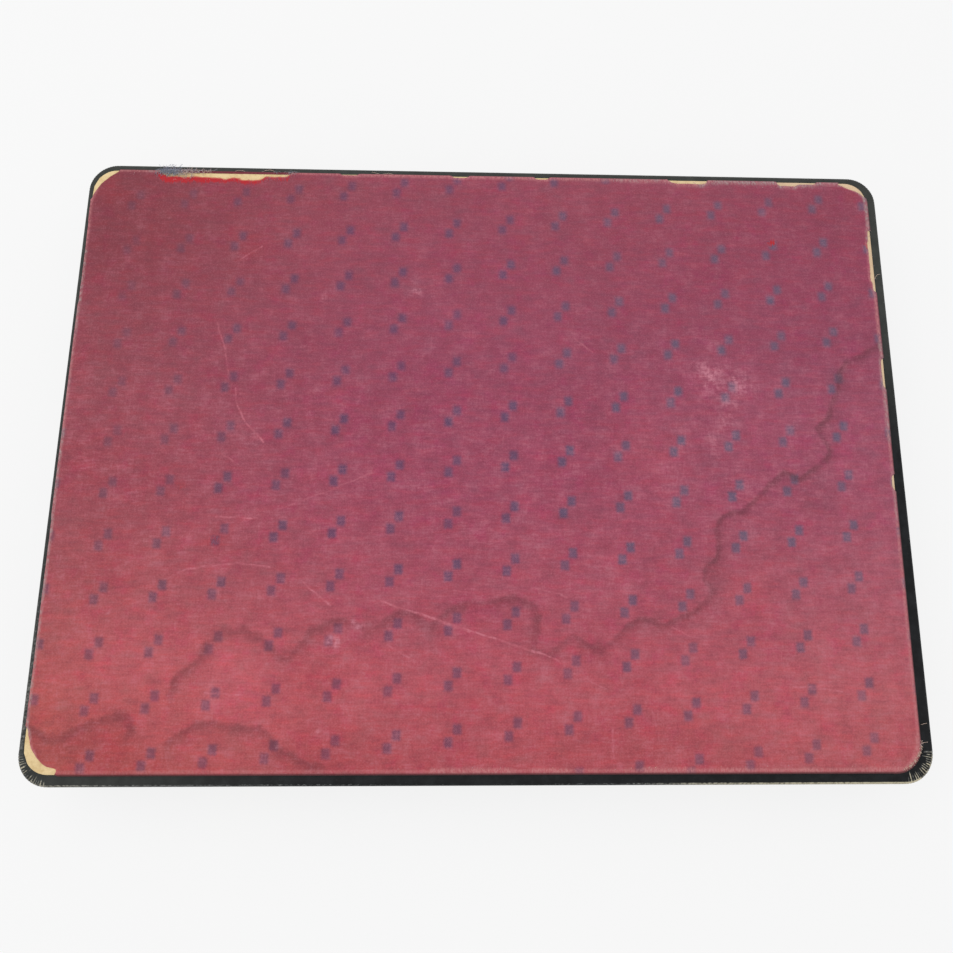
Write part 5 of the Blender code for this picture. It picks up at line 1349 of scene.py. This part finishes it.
def lathe(profile, centre, steps, down=True):
    # a profile of (radius, height) points turned about the vertical through centre; its two ends are points
    # on the axis. down says that it is listed from the top, so that the faces look outwards
    profile = np.asarray(profile, float)
    angle = np.linspace(0, 2 * np.pi, steps, endpoint=False)
    ring = np.stack([np.cos(angle), np.sin(angle), np.zeros(steps)], -1)
    across, up = (profile[1:-1, k][:, None, None] for k in (0, 1))
    rings = across * ring[None] + up * np.array([0, 0, 1])
    ends = [[0, 0, profile[0, 1]], [0, 0, profile[-1, 1]]]
    points = np.concatenate([rings.reshape(-1, 3), ends]) + np.asarray(centre)
    return points, closedRings(len(rings), steps, down)


def closedRings(rows, steps, down):
    # quads between rings, and fans to the two end points that follow them
    count = rows * steps
    groups = [gridFaces(rows, steps, wrap=True)[:, ::-1], fanFaces(np.arange(steps), count),
              fanFaces(np.arange(count - steps, count), count + 1)[:, ::-1]]
    return groups if down else [g[:, ::-1] for g in groups]


pegs = dict(
    height=3.6,  # of the head, over the hole; profiles are (radius, height) in mm, from the top
    profile=[(0.0, 3.6), (0.9, 3.52), (1.7, 3.2), (2.25, 2.6), (2.4, 1.9), (2.28, 0.9), (1.95, 0.05),
             (1.8, 0.0), (1.2, 0.0), (1.2, -2.7), (0.9, -3.28), (0.0, -3.3)],
    # the loose ones lie on their sides in the bays: mm from one to the next, height of the axis, how far they
    # stray, and the share of places left empty
    looseProfile=[(0.0, 3.6), (1.5, 3.3), (2.4, 1.9), (1.95, 0.0), (1.2, 0.0), (1.2, -2.8), (0.0, -3.3)],
    pitch=9.4, level=8.45, stray=1.4, empty=0.16,
    bays=dict(left=(-0.1722, -0.1255, -0.1298, 0.0125), right=(0.1298, -0.1255, 0.1722, 0.0125)))
feet = dict(profile=[(0.0, 2.2), (6.5, 2.2), (7.6, 2.1), (8.0, 1.7), (8.0, 0.5), (7.7, 0.12), (7.1, 0.0),
                     (5.2, 0.0), (4.9, 0.35), (0.0, 0.4)])


def makeTurned():
    # pegs and feet are profiles turned about the middles of the nodes that they stand for
    for name in ("peg_white_left", "peg_white_right", "peg_red_left", "peg_red_right"):
        box, _, high = nodeBox(name)
        centre = (*middleOf(box), high - pegs["height"] * mm)
        points, faces = lathe(np.array(pegs["profile"]) * mm, centre, 24)
        finish, slot = (whitePlastic, "white_plastic") if "white" in name else (redPlastic, "red_plastic")
        makePiece(name + "_turned", points, faces, name, finish, [name], sharp=45)
    for name in ("foot_front_left", "foot_front_right", "foot_back_left", "foot_back_right"):
        points, faces = lathe(np.array(feet["profile"]) * mm, (*middleOf(nodeBox(name)[0]), 0.0), 48)
        makePiece(name + "_turned", points, faces, "base", rubber, [name], sharp=40)


def makeLoosePegs(name, box, material, seed):
    # one turned peg laid on its side at many places: each gets its own turn about the vertical, in loose rows
    chance = np.random.default_rng(seed)
    points, faces = lathe(np.array(pegs["looseProfile"]) * mm, (0, 0, -0.15 * mm), 10)
    laid = points[:, [2, 1, 0]] * [1, 1, -1]
    pitch, stray = pegs["pitch"] * mm, pegs["stray"] * mm
    columns, rows = int((box[2] - box[0]) / pitch), int((box[3] - box[1]) / pitch)
    middleX, middleY = middleOf(box)
    cx = (np.arange(columns) - (columns - 1) / 2) * pitch + middleX
    cy = (np.arange(rows) - (rows - 1) / 2) * pitch + middleY
    gx, gy = (g.ravel() for g in np.meshgrid(cx, cy))
    keep = chance.random(len(gx)) > pegs["empty"]
    gx = gx[keep] + (chance.random(keep.sum()) - 0.5) * stray
    gy = gy[keep] + (chance.random(keep.sum()) - 0.5) * stray
    turn = chance.random(len(gx)) * 2 * np.pi
    cos, sin = np.cos(turn)[:, None], np.sin(turn)[:, None]
    x = laid[None, :, 0] * cos - laid[None, :, 1] * sin + gx[:, None]
    y = laid[None, :, 0] * sin + laid[None, :, 1] * cos + gy[:, None]
    z = np.broadcast_to(laid[None, :, 2] + pegs["level"] * mm, x.shape)
    heap = np.stack([x, y, z], -1).reshape(-1, 3)
    shift = (np.arange(len(gx)) * len(laid))[:, None, None]
    every = [(g[None] + shift).reshape(-1, g.shape[1]) for g in faces]
    return makePiece(name, heap, every, "base", material, sharp=50)


ship = dict(
    steps=44, high=6.6, beam=5.75, stern=5.0, bow=17.0, deck=3.8,  # mm, but for steps; beam is half the width
    # the hull's section as (share of the beam, height, share of the sheer), from the keel round to the deck
    section=[(0.0, 0.0, 0.0), (0.80, 0.0, 0.0), (0.90, 0.9, 0.0), (0.97, 2.4, 0.0), (1.0, 3.5, 1.0),
             (1.0, 3.9, 1.0), (0.97, 4.0, 1.0), (0.90, 4.0, 1.0), (0.88, 3.72, 0.7), (0.0, 3.85, 0.7)],
    # houses between two holes, and a gun before the last, as (place, length, beam, bottom, top, squareness)
    houses=[(0.0, 10.0, 6.0, 0.0, 1.5, 5.0), (-0.8, 6.4, 4.4, 1.45, 2.3, 5.0),
            (1.4, 2.0, 3.2, 2.25, 2.72, 3.0), (-2.2, 1.9, 1.9, 2.2, 2.75, 2.0)],
    gun=[(0.0, 5.0, 4.6, 0.0, 1.2, 3.0), (3.6, 4.4, 0.8, 0.55, 0.95, 3.0)],
    # how a house draws in: (share of its size, share of its height)
    house=[(1.0, 0.0), (0.97, 0.80), (0.93, 0.95), (0.80, 1.0)],
    # a peg hole's rim and a plug as (radius, height)
    rim=[(0.0, 3.6), (2.5, 3.6), (2.45, 4.15), (2.3, 4.3), (1.85, 4.3), (1.7, 4.15), (1.7, 3.7), (0.0, 3.7)],
    plug=[(0.0, 0.2), (1.2, 0.2), (1.2, -2.8), (0.9, -3.28), (0.0, -3.3)])


def makeShip(name, cells, upright):
    # the hull is a section carried from stern to bow: the half beam rounds off aft and runs to a point
    # forward; houses, turrets and funnels are rounded boxes (superellipses) that draw in towards their tops
    box, _, high = nodeBox(name)
    along = (box[3] - box[1]) if upright else (box[2] - box[0])
    base = high - ship["high"] * mm
    s = np.linspace(0, 1, ship["steps"])
    s = s - 0.06 * np.sin(2 * np.pi * s)
    stern = np.sqrt(np.maximum(0, 1 - np.maximum(0, 1 - s / (ship["stern"] * mm / along)) ** 2)) * 0.94 + 0.06
    bow = 1 - np.maximum(0, (s * along - along + ship["bow"] * mm) / (ship["bow"] * mm)) ** 1.7
    half = ship["beam"] * mm * np.minimum(stern, bow)
    sheer = 0.55 * mm * np.maximum(0, s - 0.55) ** 2 / 0.2
    lengthwise = s * along - along / 2
    right = np.array([np.stack([lengthwise, -share * half, base + height * mm + rise * sheer], -1)
                      for share, height, rise in ship["section"]])
    left = right[-2:0:-1] * [1, -1, 1]
    loopPoints = np.concatenate([right, left])
    rows = np.swapaxes(loopPoints, 0, 1)
    parts, groups = [rows.reshape(-1, 3)], [gridFaces(len(s), len(loopPoints), wrap=True)[:, ::-1]]
    count = rows.shape[0] * rows.shape[1]
    sternCap = fanFaces(np.arange(len(loopPoints)), count)
    bowCap = fanFaces((np.arange(len(loopPoints)) + (len(s) - 1) * len(loopPoints))[::-1], count + 1)
    parts.append(np.array([rows[0].mean(0), rows[-1].mean(0)]))
    groups += [sternCap, bowCap]
    count += 2

    def house(x, length, beam, bottom, top, power):
        # a superellipse of that power, drawn in and raised ring by ring
        angle = np.linspace(0, 2 * np.pi, 28, endpoint=False)
        cos, sin = np.cos(angle), np.sin(angle)
        size = (np.abs(cos) ** power + np.abs(sin) ** power) ** (-1 / power)
        loops = np.array([np.stack([x + size * cos * length / 2 * k, size * sin * beam / 2 * k,
                                    np.full(28, bottom + (top - bottom) * h)], -1) for k, h in ship["house"]])
        ends = np.array([[x, 0, bottom], [x, 0, top]])
        return np.concatenate([loops.reshape(-1, 3), ends]) * mm, closedRings(len(loops), 28, False)

    def houses(x, rows):
        # houses set about x along the ship and up from its deck
        return [house(x + place, length, beam, deck + bottom, deck + top, power)
                for place, length, beam, bottom, top, power in rows]

    pitch = grid["pitch"] / mm
    stations = (np.arange(cells) - (cells - 1) / 2) * pitch
    deck = base / mm + ship["deck"]
    built = []
    for x in stations[:max(1, cells - 2)]:
        built += houses(x + pitch / 2, ship["houses"])
    if cells > 2:
        built += houses(stations[-2] + pitch / 2, ship["gun"])
    built += [lathe(np.array(ship["rim"]) * mm, (x * mm, 0, base), 24, False) for x in stations]
    built += [lathe(np.array(ship["plug"]) * mm, (x * mm, 0, base), 16) for x in (stations[0], stations[-1])]
    for points, faces in built:
        parts.append(points)
        groups += [g + count for g in faces]
        count += len(points)
    flat = np.concatenate(parts)
    if upright:
        flat = flat[:, [1, 0, 2]] * [-1, 1, 1]
    flat = flat + [*middleOf(box), 0]
    return makePiece(name + "_hull", flat, groups, name, shipGrey, [name], sharp=38)


makeBoard("ocean_pegboard", "ocean_board", True, "base")
makeBoard("target_pegboard", "target_board", False, "lid")
makeLabels("ocean_labels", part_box("ocean_board")[1][2], True, "base")
makeLabels("target_labels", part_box("target_board")[0][2], False, "lid")
makeTurned()
makeLoosePegs("loose_pegs_left", pegs["bays"]["left"], whitePlastic, 81)
makeLoosePegs("loose_pegs_right", pegs["bays"]["right"], redPlastic, 82)
for shipName, cells, upright in (("ship_five", 5, False), ("ship_four", 4, True),
                                 ("ship_three_long", 3, True), ("ship_three_short", 3, False),
                                 ("ship_two", 2, False)):
    makeShip(shipName, cells, upright)
print("inside made")

# The remaining CAD nodes keep their shape and take a finish by what they are made of
finishOf = dict(hinge=brass, catch=brass, keeper=brass, rim=rimWood, cleat=railWood, divider=railWood,
                runner=railWood, partition=railWood, ledger=railWood, floor=plywood, deck=plywood,
                cover=plywood, top=plywood)
for name, node in nodes.items():
    kind = next((finish for word, finish in finishOf.items() if word in name.split("_")), None)
    if kind is not None:
        node.data.materials.clear()
        node.data.materials.append(kind)
print("CAD nodes finished")


# Floor, light and background
stage = dict(size=8.0, white=0.955, shadow=0.16, world=0.70, lamp=7.0, lampSize=1.3,
             lampPlace=(-0.35, 0.30, 1.30))


def makeStage():
    # the floor shows the background's white to the camera, with a share of real shading, so that shadows stay
    half = stage["size"] / 2
    mesh = bpy.data.meshes.new("floor")
    corners = [(-half, -half, 0), (half, -half, 0), (half, half, 0), (-half, half, 0)]
    mesh.from_pydata(corners, [], [(0, 1, 2, 3)])
    floor = bpy.data.objects.new("floor", mesh)
    bpy.context.scene.collection.objects.link(floor)
    f = Finish("paleFloor")
    paper = f.mix(f.noise(400.0, 2.0), (0.86, 0.86, 0.87, 1), (0.90, 0.90, 0.90, 1))
    f.done(paper, 0.9, Specular_IOR_Level=0.1)
    glow = f.node("Emission", {"Color": (1, 1, 1, 1), "Strength": stage["white"]})
    shares = {0: f.times(f.seen(), 1 - stage["shadow"]), 1: f.shader.outputs[0], 2: glow.outputs[0]}
    both = f.node("MixShader", shares)
    output = next(n for n in f.tree.nodes if n.type == "OUTPUT_MATERIAL")
    f.put(output.inputs["Surface"], both.outputs[0])
    mesh.materials.append(f.material)

    world = bpy.data.worlds.new("studio")
    bpy.context.scene.world = world
    world.use_nodes = True
    sky = Nodes(world.node_tree)
    back = sky.tree.nodes["Background"]
    sky.put(back.inputs["Color"], (1, 1, 1, 1))
    strength = sky.node("MapRange", {0: sky.seen(), 3: stage["world"], 4: stage["white"]})
    sky.put(back.inputs["Strength"], strength.outputs[0])

    lamp = bpy.data.lights.new("softbox", "AREA")
    lamp.energy, lamp.size = stage["lamp"], stage["lampSize"]
    key = bpy.data.objects.new("softbox", lamp)
    key.location = stage["lampPlace"]
    bpy.context.scene.collection.objects.link(key)
    key.rotation_mode = "QUATERNION"
    key.rotation_quaternion = key.location.to_track_quat("Z", "Y")
    bpy.context.scene.view_settings.view_transform = "Standard"


makeStage()
